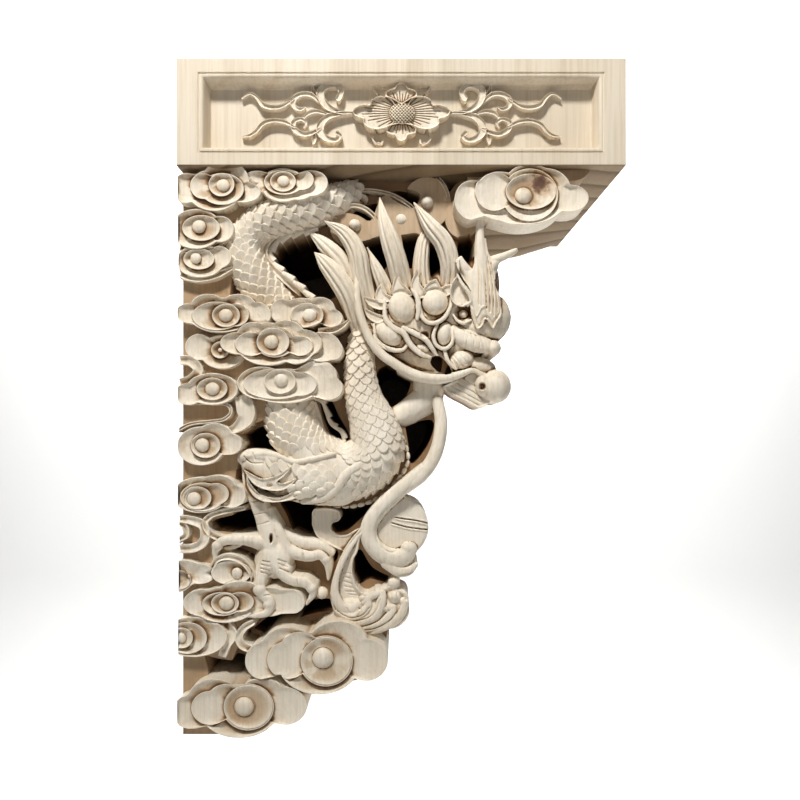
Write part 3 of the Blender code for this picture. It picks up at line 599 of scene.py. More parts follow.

# %% [markdown]
# ## The ground
#
# Behind the figures the block is left standing, and between them it is cut away deeply. The gaps
# look black from their depth and from painted shade on the hollows' walls and floors. The ground is
# one flat board outline with those hollows cut out of it, and a shallower board next to the
# column. Sharp Boolean cuts suit it: the chisel left them so.

# %% Cut the ground and its hollows
GROUND_DEPTH = 30.0
BOARD_DEPTH = 14.0
HOLLOW_DEPTH = 160.0
BACK_STEP = 0.008
BOARD_BACK = 36.0
DISC_BACK = 40.0
GROUND_OUTLINE = [(176, 160), (512, 160), (500, 190), (480, 216), (474, 246), (474, 289), (466, 330),
    (452, 355), (442, 379), (438, 400), (441, 420), (437, 450), (424, 470), (404, 488), (400, 505),
    (410, 520), (413, 545), (398, 571), (395, 595), (390, 616), (386, 640), (382, 664), (362, 678),
    (330, 688), (308, 694), (300, 706), (280, 718), (176, 718)]
BOARD_OUTLINE = [(176, 160), (322, 160), (322, 196), (298, 208), (252, 232), (232, 256), (230, 298),
    (262, 338), (296, 346), (304, 402), (252, 424), (236, 470), (230, 550), (248, 568), (248, 622),
    (232, 660), (238, 700), (246, 738), (176, 738)]
HOLLOWS = [
    [(430, 154), (470, 158), (500, 158), (482, 172), (459, 177), (449, 188), (438, 172)],
    [(266, 248), (272, 240), (290, 234), (306, 231), (322, 236), (335, 248), (342, 262), (345, 276),
     (334, 294), (312, 298), (296, 283), (282, 269)],
    [(344, 247), (352, 247), (354, 276), (344, 272)],
    [(362, 240), (386, 236), (387, 262), (379, 268), (368, 258)],
    [(401, 234), (420, 234), (420, 262), (408, 264), (404, 250)],
    [(429, 238), (446, 244), (446, 274), (439, 278), (431, 272)],
    [(459, 236), (473, 236), (474, 272), (466, 270), (459, 256)],
    [(345, 211), (361, 202), (377, 199), (376, 208), (370, 220), (358, 214)],
    [(380, 189), (400, 186), (420, 193), (413, 207), (396, 200)],
    [(375, 378), (378, 368), (390, 363), (404, 368), (411, 378), (408, 392), (400, 404), (386, 409),
     (378, 398)],
    [(430, 355), (443, 356), (441, 372), (436, 373)],
    [(318, 398), (330, 400), (338, 416), (347, 432), (349, 446), (342, 452), (333, 440), (325, 426),
     (320, 412)],
    [(405, 424), (433, 420), (431, 440), (419, 459), (411, 464), (409, 448)],
    [(244, 434), (262, 426), (270, 440), (270, 452), (250, 450)],
    [(210, 525), (216, 519), (235, 514), (247, 511), (252, 513), (255, 533), (230, 531), (215, 529)],
    [(276, 502), (320, 505), (314, 520), (313, 532), (322, 544), (336, 552), (334, 564), (316, 558),
     (300, 546), (290, 530), (284, 516)],
    [(329, 508), (372, 506), (360, 520), (346, 532), (334, 534), (330, 524), (336, 516)],
    [(353, 554), (360, 552), (372, 570), (390, 580), (390, 586), (370, 582), (356, 586)],
    [(251, 632), (272, 616), (300, 605), (328, 602), (332, 612), (308, 618), (284, 626), (262, 636)],
    [(206, 652), (222, 656), (244, 660), (250, 674), (240, 680), (214, 680), (210, 664)]]


def ellipse(px, py, half_w, half_h, corners=40):
    """The outline of an ellipse in the view."""
    turns = 2 * np.pi * np.arange(corners) / corners
    return list(zip(px + half_w * np.cos(turns), py + half_h * np.sin(turns)))


DISCS = [(355, 228, 25, 21, 23.0), (401, 224, 33, 33, 22.0), (427, 203, 24, 26, 22.0),
         (462, 218, 17, 20, 21.0), (513, 176, 46, 18, 22.0), (570, 168, 20, 13, 9.0)]
BALLS = [(355, 226, 24, 6.4, 6.4, 6), (401, 221, 26, 7, 7, 6), (427, 203, 22, 6, 6, 6),
    (322, 592.7, 16, 6, 6, 6)]


def outline_object(name, outline, depth, back_y, sawn=0.3):
    """A flat board from a view outline at a depth in millimetres, back to a world Y, cut by the column."""
    corners = seen([p[0] for p in outline], [p[1] for p in outline], depth)
    corners[:, 0] = np.maximum(corners[:, 0], low[0] + sawn * MM)
    corners[:, 2] = np.maximum(corners[:, 2], low[2])
    count = len(corners)
    back = corners.copy()
    back[:, 1] = back_y
    faces = [tuple(range(count)), tuple(range(2 * count - 1, count - 1, -1))]
    for index in range(count):
        after = (index + 1) % count
        faces.append((index, index + count, after + count, after))
    made = mesh_object(name, np.vstack([corners, back]), faces)
    shell = bmesh.new()
    shell.from_mesh(made.data)
    bmesh.ops.recalc_face_normals(shell, faces=shell.faces)
    shell.to_mesh(made.data)
    shell.free()
    return made


def apply_boolean(target, operation, tools):
    """Join the tools with the target, or cut them out of it, and drop them."""
    kit = bpy.data.collections.new("cutters")
    for tool in tools:
        kit.objects.link(tool)
    modifier = target.modifiers.new("boolean", "BOOLEAN")
    modifier.operation = operation
    modifier.operand_type = "COLLECTION"
    modifier.collection = kit
    apply_modifiers(target)
    for tool in tools:
        bpy.data.objects.remove(tool)
    bpy.data.collections.remove(kit)


ground = outline_object("ground", GROUND_OUTLINE, GROUND_DEPTH, BACK - BACK_STEP)
column_board = outline_object("column_board", BOARD_OUTLINE, BOARD_DEPTH, FRONT + BOARD_BACK * MM, 0.5)
discs = [outline_object(f"disc_{number}", ellipse(*shape), depth, FRONT + DISC_BACK * MM)
         for number, (*shape, depth) in enumerate(DISCS)]
apply_boolean(ground, "UNION", [column_board] + discs)
hollows = [outline_object(f"hollow_{number}", smooth_route(outline + outline[:1], 4.0)[:-1], 20.0,
                          FRONT + HOLLOW_DEPTH * MM) for number, outline in enumerate(HOLLOWS)]
for tool in hollows:
    for vertex in tool.data.vertices:
        if vertex.co.y < FRONT + 0.03:
            vertex.co.y = FRONT - 0.01
apply_boolean(ground, "DIFFERENCE", hollows)
ground.data.materials.clear()
ground.data.materials.append(hollow_wood)
# The faces that reach the hollows' floor are marked, so that only they take the painted shade.
floor_y = FRONT + HOLLOW_DEPTH * MM
pockets = [float(abs(max(ground.data.vertices[v].co.y for v in face.vertices) - floor_y) < MM)
           for face in ground.data.polygons]
ground.data.attributes.new("pocket", "FLOAT", "FACE").data.foreach_set("value", pockets)
for face in ground.data.polygons:
    face.material_index = 0
pieces.append(ground)
add_piece("balls", *join_skins([dome(*ball) for ball in BALLS]), wood)
print("ground faces:", len(ground.data.polygons))

# %% [markdown]
# ## The beam
#
# The beam is a planed block whose front is a frame: a thin groove, a bead, then the wall down to
# the sunk panel. All of these run round the panel as rectangles, so the front is made of
# rectangular loops, each with its own inset and depth, joined like steps.

# %% Make the beam from rectangular loops
PANEL_LOW = (0.0235, 0.0155)
PANEL_HIGH = (0.394 - 0.0235, 0.094 - 0.0170)
BACK_RECESS = 5.0 * MM
FRAME_STEPS = [(-4.6, 0.0), (-4.2, 0.9), (-3.8, 1.1), (-3.4, 0.9), (-3.0, 0.1), (-2.4, 0.0), (-1.6, 0.0),
    (-0.8, 0.2), (0.0, 1.0), (0.35, 2.0), (2.3, 12.4), (3.0, 13.0), (5.0, 13.0)]


def rectangle(low_x, low_z, high_x, high_z, y, per_side):
    """Points round a rectangle in the XZ plane, the same number on each side."""
    t = np.arange(per_side) / per_side
    corners = [(low_x, low_z), (high_x, low_z), (high_x, high_z), (low_x, high_z)]
    points = []
    for index, (x, z) in enumerate(corners):
        next_x, next_z = corners[(index + 1) % 4]
        points += [(x + (next_x - x) * step, y, z + (next_z - z) * step) for step in t]
    return points


def beam_skin(per_side=24, edge=0.6 * MM):
    """The whole beam as loops from the floor of its back panel round to the floor of the front one."""
    x0, x1, z0, z1 = low[0], high[0], UNDERSIDE, TOP
    recess = (x0 + PANEL_LOW[0], z0 + PANEL_LOW[1], x0 + PANEL_HIGH[0], z0 + PANEL_HIGH[1])
    loops = [rectangle(*recess, BACK - BACK_RECESS, per_side),
             rectangle(*recess, BACK, per_side),
             rectangle(x0 + edge, z0 + edge, x1 - edge, z1 - edge, BACK, per_side),
             rectangle(x0, z0, x1, z1, BACK - edge, per_side),
             rectangle(x0, z0, x1, z1, FRONT + edge, per_side),
             rectangle(x0 + edge, z0 + edge, x1 - edge, z1 - edge, FRONT, per_side)]
    for inset, depth in FRAME_STEPS:
        loops.append(rectangle(x0 + PANEL_LOW[0] + inset * MM, z0 + PANEL_LOW[1] + inset * MM,
                               x0 + PANEL_HIGH[0] - inset * MM, z0 + PANEL_HIGH[1] - inset * MM,
                               FRONT + depth * MM, per_side))
    return closed_skin(np.array(loops))


beam = add_piece("beam", *beam_skin(), beam_wood)
beam.data.set_sharp_from_angle(angle=math.radians(32))
print("beam faces:", len(beam.data.polygons))

# %% [markdown]
# ## The swelling under the beam
#
# Under the beam's far edge the wood isn't sawn flat: a low rounded mass hangs there, deepest behind
# the head and running out to nothing on the right. Rows across it drop by an even curve, so it
# starts level with the underside and leaves no step.

# %% Make the swelling
SWELLING_DEPTHS = (100.0, 191.5)
SWELLING_DROP = 1.24
SWELLING = [(470, 14.5), (500, 14.5), (516, 12.6), (530, 8.4), (543, 4.4), (551, 1.9), (557, 0.2)]
depths = np.linspace(*SWELLING_DEPTHS, 16)
rise = (depths - depths[0]) / (depths[-1] - depths[0])
rows = []
for px, drop in smooth_route(SWELLING, 3.0):
    x = float(seen(px, UNDERSIDE_PIXEL, depths[-1])[0])
    bottom = UNDERSIDE - drop * SWELLING_DROP * MM * rise * rise * (3 - 2 * rise)
    rows.append([(x, FRONT + depths[0] * MM, UNDERSIDE + MM)]
                + [(x, FRONT + depth * MM, z) for depth, z in zip(depths, bottom)]
                + [(x, FRONT + depths[-1] * MM, UNDERSIDE + MM)])
points, faces = closed_skin(np.array(rows))
add_piece("beam_swelling", points, faces, beam_wood)
print("swelling faces:", len(faces))

# %% [markdown]
# ## Repeating forms with Geometry Nodes
#
# Scales, beads and seeds are one small shape repeated. A tree takes a cloud of points, each with
# the way it faces, the way its tip points and its size, puts a copy of the shape on every point,
# turns the copies into real mesh and gives them the wood.

# %% Build the tree that sets copies on points
def copies_tree():
    """A tree that puts a shape on every point, by the point's facing, tip and size."""
    tree = bpy.data.node_groups.new("set_copies", "GeometryNodeTree")
    tree.interface.new_socket("Points", in_out="INPUT", socket_type="NodeSocketGeometry")
    tree.interface.new_socket("Shape", in_out="INPUT", socket_type="NodeSocketObject")
    tree.interface.new_socket("Wood", in_out="INPUT", socket_type="NodeSocketMaterial")
    tree.interface.new_socket("Copies", in_out="OUTPUT", socket_type="NodeSocketGeometry")
    start = tree.nodes.new("NodeGroupInput")
    end = tree.nodes.new("NodeGroupOutput")
    shape = tree.nodes.new("GeometryNodeObjectInfo")
    place = tree.nodes.new("GeometryNodeInstanceOnPoints")
    turn = tree.nodes.new("FunctionNodeAxesToRotation")
    turn.primary_axis = "Z"
    turn.secondary_axis = "Y"
    real = tree.nodes.new("GeometryNodeRealizeInstances")
    finish = tree.nodes.new("GeometryNodeSetMaterial")
    reads = {}
    for name in ("facing", "tip", "size"):
        reads[name] = tree.nodes.new("GeometryNodeInputNamedAttribute")
        reads[name].data_type = "FLOAT_VECTOR"
        reads[name].inputs["Name"].default_value = name
    link = tree.links.new
    link(start.outputs["Shape"], shape.inputs["Object"])
    link(start.outputs["Points"], place.inputs["Points"])
    link(shape.outputs["Geometry"], place.inputs["Instance"])
    link(reads["facing"].outputs["Attribute"], turn.inputs["Primary Axis"])
    link(reads["tip"].outputs["Attribute"], turn.inputs["Secondary Axis"])
    link(turn.outputs["Rotation"], place.inputs["Rotation"])
    link(reads["size"].outputs["Attribute"], place.inputs["Scale"])
    link(place.outputs["Instances"], real.inputs["Geometry"])
    link(real.outputs["Geometry"], finish.inputs["Geometry"])
    link(start.outputs["Wood"], finish.inputs["Material"])
    link(finish.outputs["Geometry"], end.inputs["Copies"])
    return tree


COPIES = copies_tree()


def set_copies(name, shape, places, facings, tips, sizes, material):
    """A piece made of copies of a shape at places, each turned and sized; sizes are (n, 3)."""
    mesh = bpy.data.meshes.new(name + "_points")
    mesh.from_pydata(np.asarray(places).tolist(), [], [])
    for label, values in (("facing", facings), ("tip", tips), ("size", sizes)):
        layer = mesh.attributes.new(label, "FLOAT_VECTOR", "POINT")
        layer.data.foreach_set("vector", np.asarray(values, np.float32).ravel())
    holder = bpy.data.objects.new(name, mesh)
    bpy.context.scene.collection.objects.link(holder)
    modifier = holder.modifiers.new("copies", "NODES")
    modifier.node_group = COPIES
    for item in COPIES.interface.items_tree:
        if item.name == "Shape":
            modifier[item.identifier] = shape
        if item.name == "Wood":
            modifier[item.identifier] = material
    bpy.context.view_layer.update()
    made = apply_modifiers(holder)
    made.name = name
    corners = np.empty(len(made.vertices) * 3)
    made.vertices.foreach_get("co", corners)
    made.vertices.foreach_set("co", inside_box(corners.reshape(-1, 3)).ravel())
    made.shade_smooth()
    pieces.append(holder)


# %% [markdown]
# ## One scale
#
# A carved scale is a flat tongue, sunk at its root and standing a little proud at its round tip,
# where a thin rim catches the light. It is made one unit wide, with its tip along Y.

# %% Make the scale and a plain bead
SCALE_HALF = (0.53, 0.62)
SCALE_TILT = 0.23
SCALE_STEPS = ((1.0, -0.3), (1.0, 0.02), (0.93, 0.065), (0.78, 0.06), (0.45, 0.075), (0.15, 0.08))


def scale_shape(around=16):
    """The skin of one scale, its rim first and its middle last."""
    angles = 2 * np.pi * np.arange(around) / around
    edge = np.stack([SCALE_HALF[0] * np.cos(angles), SCALE_HALF[1] * np.sin(angles)], axis=-1)
    rows = []
    for share, height in SCALE_STEPS:
        tilt = SCALE_TILT * (edge[:, 1] * share) / SCALE_HALF[1]
        rows.append(np.stack([edge[:, 0] * share, edge[:, 1] * share, height + tilt], axis=-1))
    return closed_skin(np.array(rows))


def bead_shape():
    """The skin of a ball one unit across."""
    polar = np.linspace(0.05, math.pi - 0.05, 6)[:, None]
    angles = (2 * np.pi * np.arange(8) / 8)[None, :]
    return closed_skin(0.5 * np.stack([np.sin(polar) * np.cos(angles), np.sin(polar) * np.sin(angles),
                                       np.cos(polar) * np.ones_like(angles)], axis=-1))


scale = mesh_object("scale_shape", *scale_shape(), linked=False)
bead = mesh_object("bead_shape", *bead_shape(), linked=False)
print("faces of a scale:", len(scale.data.polygons), "of a bead:", len(bead.data.polygons))

# %% [markdown]
# ## The dragon's body
#
# The body is a thick tube in two stretches: an arch at the top left, and a loop below the clouds.
# Each is a smooth skin with rows of scales on it, every other row shifted by half a scale, all
# with their tips towards the tail.

# %% Make the body and its scales
BODY = {
    "arch": [(354, 197, 36, 14), (325, 206, 26, 15.4), (295, 214, 23, 16), (268, 222, 22, 16.5),
        (251, 236, 24, 17), (245, 252, 24, 17.6), (249, 268, 24, 18), (259, 285, 27, 18.4),
        (272, 302, 33, 19), (288, 318, 40, 19)],
    "loop": [(286, 380, 40, 22), (289, 402, 32, 24), (295, 430, 28, 25), (312, 456, 29, 26),
        (340, 470, 31, 28.5), (362, 466, 31, 28.5), (377, 449, 28, 27), (373, 424, 27, 22.8),
        (364, 398, 26, 17.5), (360, 372, 25, 14.2), (361, 347, 27, 12.4), (368, 322, 32, 12)]}
SCALE_WIDTH = 10.8
SCALE_ROW = 5.1
SCALE_REACH = 118


def scales_on(stops, width, row_gap, limit_degrees, skip=None):
    """Places, facings, tips and sizes of scales on a tube's visible side."""
    rows = smooth_route(stops, 0.5)
    centres = seen(rows[:, 0], rows[:, 1], rows[:, 2])
    radius = rows[:, 3] * spread(rows[:, 2])
    ahead, sideways, facing = route_frames(centres)
    walked = travelled(centres)
    places, facings, tips, sizes = [], [], [], []
    row_number = 0
    at = 0.0
    while at < walked[-1]:
        index = min(int(np.searchsorted(walked, at)), len(centres) - 1)
        count = max(6, int(round(2 * math.pi * radius[index] / (width * MM))))
        pitch = 2 * math.pi / count
        wide = pitch * radius[index]
        for place in range(count):
            angle = (place + 0.5 * (row_number % 2)) * pitch
            angle = (angle + math.pi) % (2 * math.pi) - math.pi
            if abs(angle) > math.radians(limit_degrees):
                continue
            out = math.sin(angle) * sideways[index] + math.cos(angle) * facing[index]
            where = centres[index] + out * radius[index]
            if skip and skip(where):
                continue
            places.append(where)
            facings.append(out)
            tips.append(-ahead[index])
            sizes.append((wide, wide * 1.08, wide * 0.9))
        at += row_gap * MM * (wide / (width * MM))
        row_number += 1
    return places, facings, tips, sizes


ARM_AREA = [(236, 450), (300, 452), (335, 450), (352, 458), (364, 464), (342, 478), (334, 490), (320, 500),
    (236, 512)]


def pixel_of(places):
    """The view points where places show, as x and y."""
    size = spread((places[..., 1] - FRONT) / MM)
    return EYE_PIXEL[0] + (places[..., 0] - EYE.x) / size, EYE_PIXEL[1] - (places[..., 2] - EYE.z) / size


def within(outline, px, py):
    """Whether a view point lies inside a closed outline."""
    odd = False
    for (ax, ay), (bx, by) in zip(outline, outline[1:] + outline[:1]):
        if (ay > py) != (by > py) and px < ax + (py - ay) * (bx - ax) / (by - ay):
            odd = not odd
    return odd


def on_arm(place):
    """Whether a place lies where the arm covers the body."""
    return within(ARM_AREA, *pixel_of(place))


for name, stops in BODY.items():
    add_piece("body_" + name, *tube(stops, gap=2.0, around=36), wood)
    set_copies("scales_" + name, scale, *scales_on(stops, SCALE_WIDTH, SCALE_ROW, SCALE_REACH, on_arm), wood)
    print(name, "scales faces:", len(pieces[-1].data.polygons))

# %% [markdown]
# ## Mane, limbs, horn and whisker
#
# Locks of the mane are tubes with grooves along them. A cusped wave on the radius makes rounded
# strands with sharp dark lines between, and the strands run out together at the tip.

# %% Make the fluted locks
def fluted(strands, cut):
    """A radius shape with rounded strands and sharp grooves along a tube."""
    def shape(angles, along):
        return 1 - cut + cut * np.abs(np.sin(strands * angles / 2)) ** 0.55 + 0 * along
    return shape


LOCKS = {
    "behind": (4, 0.28, [(362, 306, 34, 11), (352, 286, 27, 11), (342, 264, 22, 10), (325, 246, 22, 8),
        (307.5, 230.5, 25, 0.6)]),
    "low": (5, 0.33, [(362, 338, 30, 8), (356, 318, 22, 10), (349, 297, 16, 11), (338, 279, 14, 10.4),
        (325, 263, 14, 7.6), (314.5, 252.5, 16, 0.6)]),
    "arched": (5, 0.33, [(376, 330, 34, 9), (367, 304, 25, 10), (361, 276, 18, 10), (357, 253, 14, 9.6),
        (345, 234, 14, 7.6), (324.5, 221, 17, 0.6)]),
    "short": (4, 0.33, [(398, 318, 36, 8), (388, 296, 28, 8), (378, 272, 21, 6.4), (367, 247.5, 20, 0.6)]),
    "back": (5, 0.31, [(422, 306, 36, 10), (421, 284, 30, 10), (421, 262, 25, 8.2), (424, 241, 24, 6.8),
        (431, 226, 28, 4)]),
    "tall": (5, 0.33, [(408, 312, 36, 9), (403, 288, 27, 10), (397, 262, 18, 10.4), (390, 240, 14, 9.6),
        (384, 220, 14, 6.2), (379.6, 197.5, 18, 0.6)]),
    "curved": (5, 0.33, [(446, 314, 36, 9), (448, 290, 28, 9.4), (450, 266, 18, 9.8), (444, 244, 14, 10),
        (430, 226, 14, 8), (413.8, 202.5, 18, 0.6)])}
skins = [tube(stops, gap=1.4, around=60, flatness=1.1, shape=fluted(2 * strands, cut))
         for strands, cut, stops in LOCKS.values()]
mane = add_piece("mane", *join_skins(skins), wood)
print("mane faces:", len(mane.data.polygons))

# %% Make the limbs, the horn and the smooth cords
LIMBS = {
    "horn": [(484, 296, 24, 9), (482, 270, 15, 7.6), (480, 250, 12, 5.6), (479.6, 236, 11, 4.4),
        (479.8, 222, 11, 3.7), (480, 204, 14, 3.7)],
    "horn_front": [(484, 274, 22, 8), (490, 264, 17, 6.4), (496.5, 259.5, 13.6, 4.7), (505, 256, 12, 3.8),
        (512, 252.6, 12.4, 3.1), (517, 249.8, 13, 1.9)],
    "horn_rear": [(478, 284, 22, 8), (471, 276, 16, 6), (465, 269, 13, 5), (461, 262.5, 12, 4.2),
        (458.4, 258.6, 12, 4)],
    "whisker": [(437, 398, 22, 5.8), (441, 424, 17, 6.4), (436, 452, 14, 6.8), (423, 473, 13, 7.2),
        (404, 488, 15, 7)],
    "neck": [(378, 424, 38, 11), (398, 417, 36, 12), (414, 408, 34, 14), (427, 396, 34, 16),
        (428, 374, 35, 16)]}
skins = [tube(stops, gap=1.6, around=28) for stops in LIMBS.values()]
limbs = add_piece("limbs", *join_skins(skins), wood)
print("limbs faces:", len(limbs.data.polygons))

# %% [markdown]
# ## Carving as depth maps
#
# The head, the foot and the tail leaf are full of small forms that run into each other. A carver
# works them from the front, so each is made as a depth map: a fine grid of view points, each with
# a depth. The map starts deep. Rounded forms are laid into it, and lines, pits and rims are then
# cut or raised on them. At the end the near part of the map becomes a closed mesh. Each map has a
# closer view of its own, larger than the front view by its zoom, and its forms are given in that.

# %% Tools that carve a depth map
MAP_STEP = 0.55
NOWHERE = 1e3


def new_map(area, step, floor, corner, zoom):
    """View points over an area, all at the floor's depth, with the corner and zoom of a closer view."""
    x0, y0, x1, y1 = area
    x, y = np.meshgrid(np.arange(x0, x1, step), np.arange(y0, y1, step))
    return {"x": x, "y": y, "depth": np.full(x.shape, float(floor)), "corner": corner, "zoom": zoom}


def close(carving, points):
    """View points from those of the closer view; depths stay, and widths shrink with the zoom."""
    corner, zoom = carving["corner"], carving["zoom"]
    return [(corner[0] + x / zoom, corner[1] + y / zoom, *rest[:1], *(width / zoom for width in rest[1:]))
            for x, y, *rest in points]


def lay(depth, form, melt):
    """Keep the nearer of two depths; melt rounds the valley where they meet, in millimetres."""
    if melt <= 0:
        return np.minimum(depth, form)
    form = np.minimum(form, depth + 2 * melt)
    share = np.clip(0.5 + 0.5 * (depth - form) / melt, 0, 1)
    return depth * (1 - share) + form * share - melt * share * (1 - share)


def lay_egg(carving, x, y, half_w, half_h, top, fall, turn=0.0, melt=0.6):
    """A rounded mass whose top is at one depth and whose edge lies fall millimetres deeper."""
    (px, py), = close(carving, [(x, y)])
    lean = math.radians(turn)
    dx, dy = carving["x"] - px, carving["y"] - py
    u = (dx * math.cos(lean) + dy * math.sin(lean)) / (half_w / carving["zoom"])
    v = (dy * math.cos(lean) - dx * math.sin(lean)) / (half_h / carving["zoom"])
    q = u * u + v * v
    form = np.where(q < 1, top + fall * (1 - np.sqrt(np.maximum(1 - q, 0))), NOWHERE)
    carving["depth"] = lay(carving["depth"], form, melt)


def near_route(carving, stops, gap=1.0):
    """Distance of every map point to a route in view points, with the route's values nearest to it."""
    rows = smooth_route(stops, gap)
    reach = float(rows[:, 3:4].max()) if rows.shape[1] > 3 else 3.0
    x, y = carving["x"], carving["y"]
    best = np.full(x.shape, 1e9)
    values = np.zeros(x.shape + (rows.shape[1] - 2,))
    pad = reach + 3.0
    columns = (x[0] > rows[:, 0].min() - pad) & (x[0] < rows[:, 0].max() + pad)
    lines = (y[:, 0] > rows[:, 1].min() - pad) & (y[:, 0] < rows[:, 1].max() + pad)
    box = np.ix_(lines, columns)
    bx, by, bd, bv = x[box], y[box], best[box], values[box]
    for start, end in zip(rows, rows[1:]):
        run = end[:2] - start[:2]
        t = ((bx - start[0]) * run[0] + (by - start[1]) * run[1]) / max(run @ run, 1e-9)
        t = np.clip(t, 0, 1)
        distance = np.hypot(bx - start[0] - t * run[0], by - start[1] - t * run[1])
        closer = distance < bd
        bd = np.where(closer, distance, bd)
        bv = np.where(closer[..., None], start[2:] + t[..., None] * (end[2:] - start[2:]), bv)
    best[box] = bd
    values[box] = bv
    return best, values


def lay_roll(carving, stops, melt=0.5, fullness=1.0):
    """A rounded roll along stops of (x, y, depth of its top, half width)."""
    distance, values = near_route(carving, close(carving, stops))
    top, width = values[..., 0], np.maximum(values[..., 1], 0.3)
    q = distance / width
    fall = width * PIXEL / MM * fullness
    form = np.where(q < 1, top + fall * (1 - np.sqrt(np.maximum(1 - q * q, 0))), NOWHERE)
    carving["depth"] = lay(carving["depth"], form, melt)


def cut_line(carving, line, wide, deep):
    """A groove cut along a line of (x, y), or a raised line where deep is negative."""
    distance, _ = near_route(carving, [(px, py, 0.0, wide) for px, py in close(carving, line)])
    carving["depth"] = carving["depth"] + deep * np.exp(-(distance / wide) ** 2)


def cut_pit(carving, x, y, half_w, half_h, deep):
    """A round pit, deepest in the middle."""
    (px, py), = close(carving, [(x, y)])
    zoom = carving["zoom"]
    q = ((carving["x"] - px) / (half_w / zoom)) ** 2 + ((carving["y"] - py) / (half_h / zoom)) ** 2
    carving["depth"] = carving["depth"] + deep * np.clip(1.15 - q, 0, 1) ** 0.7


def inside_distance(carving, outline):
    """How far inside a closed outline each map point is; outside it is negative."""
    loop = smooth_route(close(carving, list(outline) + [outline[0]]), 1.5)
    x, y = carving["x"], carving["y"]
    best = np.full(x.shape, 1e9)
    odd = np.zeros(x.shape, bool)
    for start, end in zip(loop, loop[1:]):
        run = end - start
        t = np.clip(((x - start[0]) * run[0] + (y - start[1]) * run[1]) / max(run @ run, 1e-9), 0, 1)
        best = np.minimum(best, np.hypot(x - start[0] - t * run[0], y - start[1] - t * run[1]))
        crosses = (start[1] > y) != (end[1] > y)
        if abs(run[1]) > 1e-12:
            odd ^= crosses & (x < start[0] + (y - start[1]) * run[0] / run[1])
    return np.where(odd, best, -best)


def lay_leaf(carving, outline, top, rim=1.3, drop=1.8, melt=0.0, fall=2.0):
    """A leaf with a raised rim and a sunk middle."""
    inside = inside_distance(carving, outline)
    sunk = np.clip((inside - rim * 0.55) / (rim * 1.5), 0, 1)
    form = top + drop * sunk * sunk * (3 - 2 * sunk) + fall * np.clip(0.35 - inside, 0, 0.35)
    carving["depth"] = lay(carving["depth"], np.where(inside > 0, form, NOWHERE), melt)


def cut_hole(carving, outline, depth):
    """A hole with steep walls down to a depth."""
    inside = inside_distance(carving, outline)
    carving["depth"] = np.where(inside > 0, depth, carving["depth"])


def drop_pinches(cells):
    """Leave out cells that meet only at a corner, where two walls would touch."""
    for _ in range(8):
        around = np.pad(cells, 1)
        a, b, c, d = around[:-1, :-1], around[:-1, 1:], around[1:, :-1], around[1:, 1:]
        pinch = (a & d & ~b & ~c) | (b & c & ~a & ~d)
        if not pinch.any():
            break
        bad = pinch[:-1, :-1] | pinch[1:, :-1] | pinch[:-1, 1:] | pinch[1:, 1:]
        cells &= ~bad
    return cells


RIM_PASSES = 6
FLAT_DEGREES = 0.02
SHARP_DEGREES = 70


def map_piece(name, carving, near, back):
    """Close the part of a map nearer than a depth: its front, walls straight back and a flat back."""
    depth = carving["depth"]
    kept = depth < near
    cells = drop_pinches(kept[:-1, :-1] & kept[1:, :-1] & kept[:-1, 1:] & kept[1:, 1:])
    columns = depth.shape[1]
    row, column = np.nonzero(cells)
    corner = row * columns + column
    quads = np.stack([corner, corner + columns, corner + columns + 1, corner + 1], axis=1)
    edges = np.concatenate([quads[:, [i, (i + 1) % 4]] for i in range(4)])
    keys = edges[:, 0].astype(np.int64) * depth.size + edges[:, 1]
    twins = edges[:, 1].astype(np.int64) * depth.size + edges[:, 0]
    rim = edges[~np.isin(keys, twins)]
    flat = np.stack([carving["x"].ravel(), carving["y"].ravel(), depth.ravel()], axis=1)
    after = np.full(depth.size, -1)
    before = np.full(depth.size, -1)
    after[rim[:, 0]] = rim[:, 1]
    before[rim[:, 1]] = rim[:, 0]
    loop = rim[:, 0]
    for _ in range(RIM_PASSES):
        flat[loop] = 0.5 * flat[loop] + 0.25 * (flat[after[loop]] + flat[before[loop]])
    used = np.unique(quads)
    number = np.full(depth.size, -1)
    number[used] = np.arange(len(used))
    front = seen(flat[used, 0], flat[used, 1], flat[used, 2])
    rear = front.copy()
    rear[:, 1] = FRONT + back * MM
    count = len(used)
    faces = number[quads]
    walls = np.stack([number[rim[:, 1]], number[rim[:, 0]], number[rim[:, 0]] + count,
                      number[rim[:, 1]] + count], axis=1)
    every = np.concatenate([faces, faces[:, ::-1] + count, walls]).tolist()
    piece = add_piece(name, np.vstack([front, rear]), every, wood)
    flatten = piece.modifiers.new("flatten", "DECIMATE")
    flatten.decimate_type = "DISSOLVE"
    flatten.angle_limit = math.radians(FLAT_DEGREES)
    apply_modifiers(piece).set_sharp_from_angle(angle=math.radians(SHARP_DEGREES))
    return piece


# %% [markdown]
# ## The head
#
# The head's numbers are read in a closer view, 5.14 times as large. Full puffs of the cheek stand
# in ringed sockets, a fringe of small leaves rises behind them, and one long ridge runs under the
# cheek to the mouth.

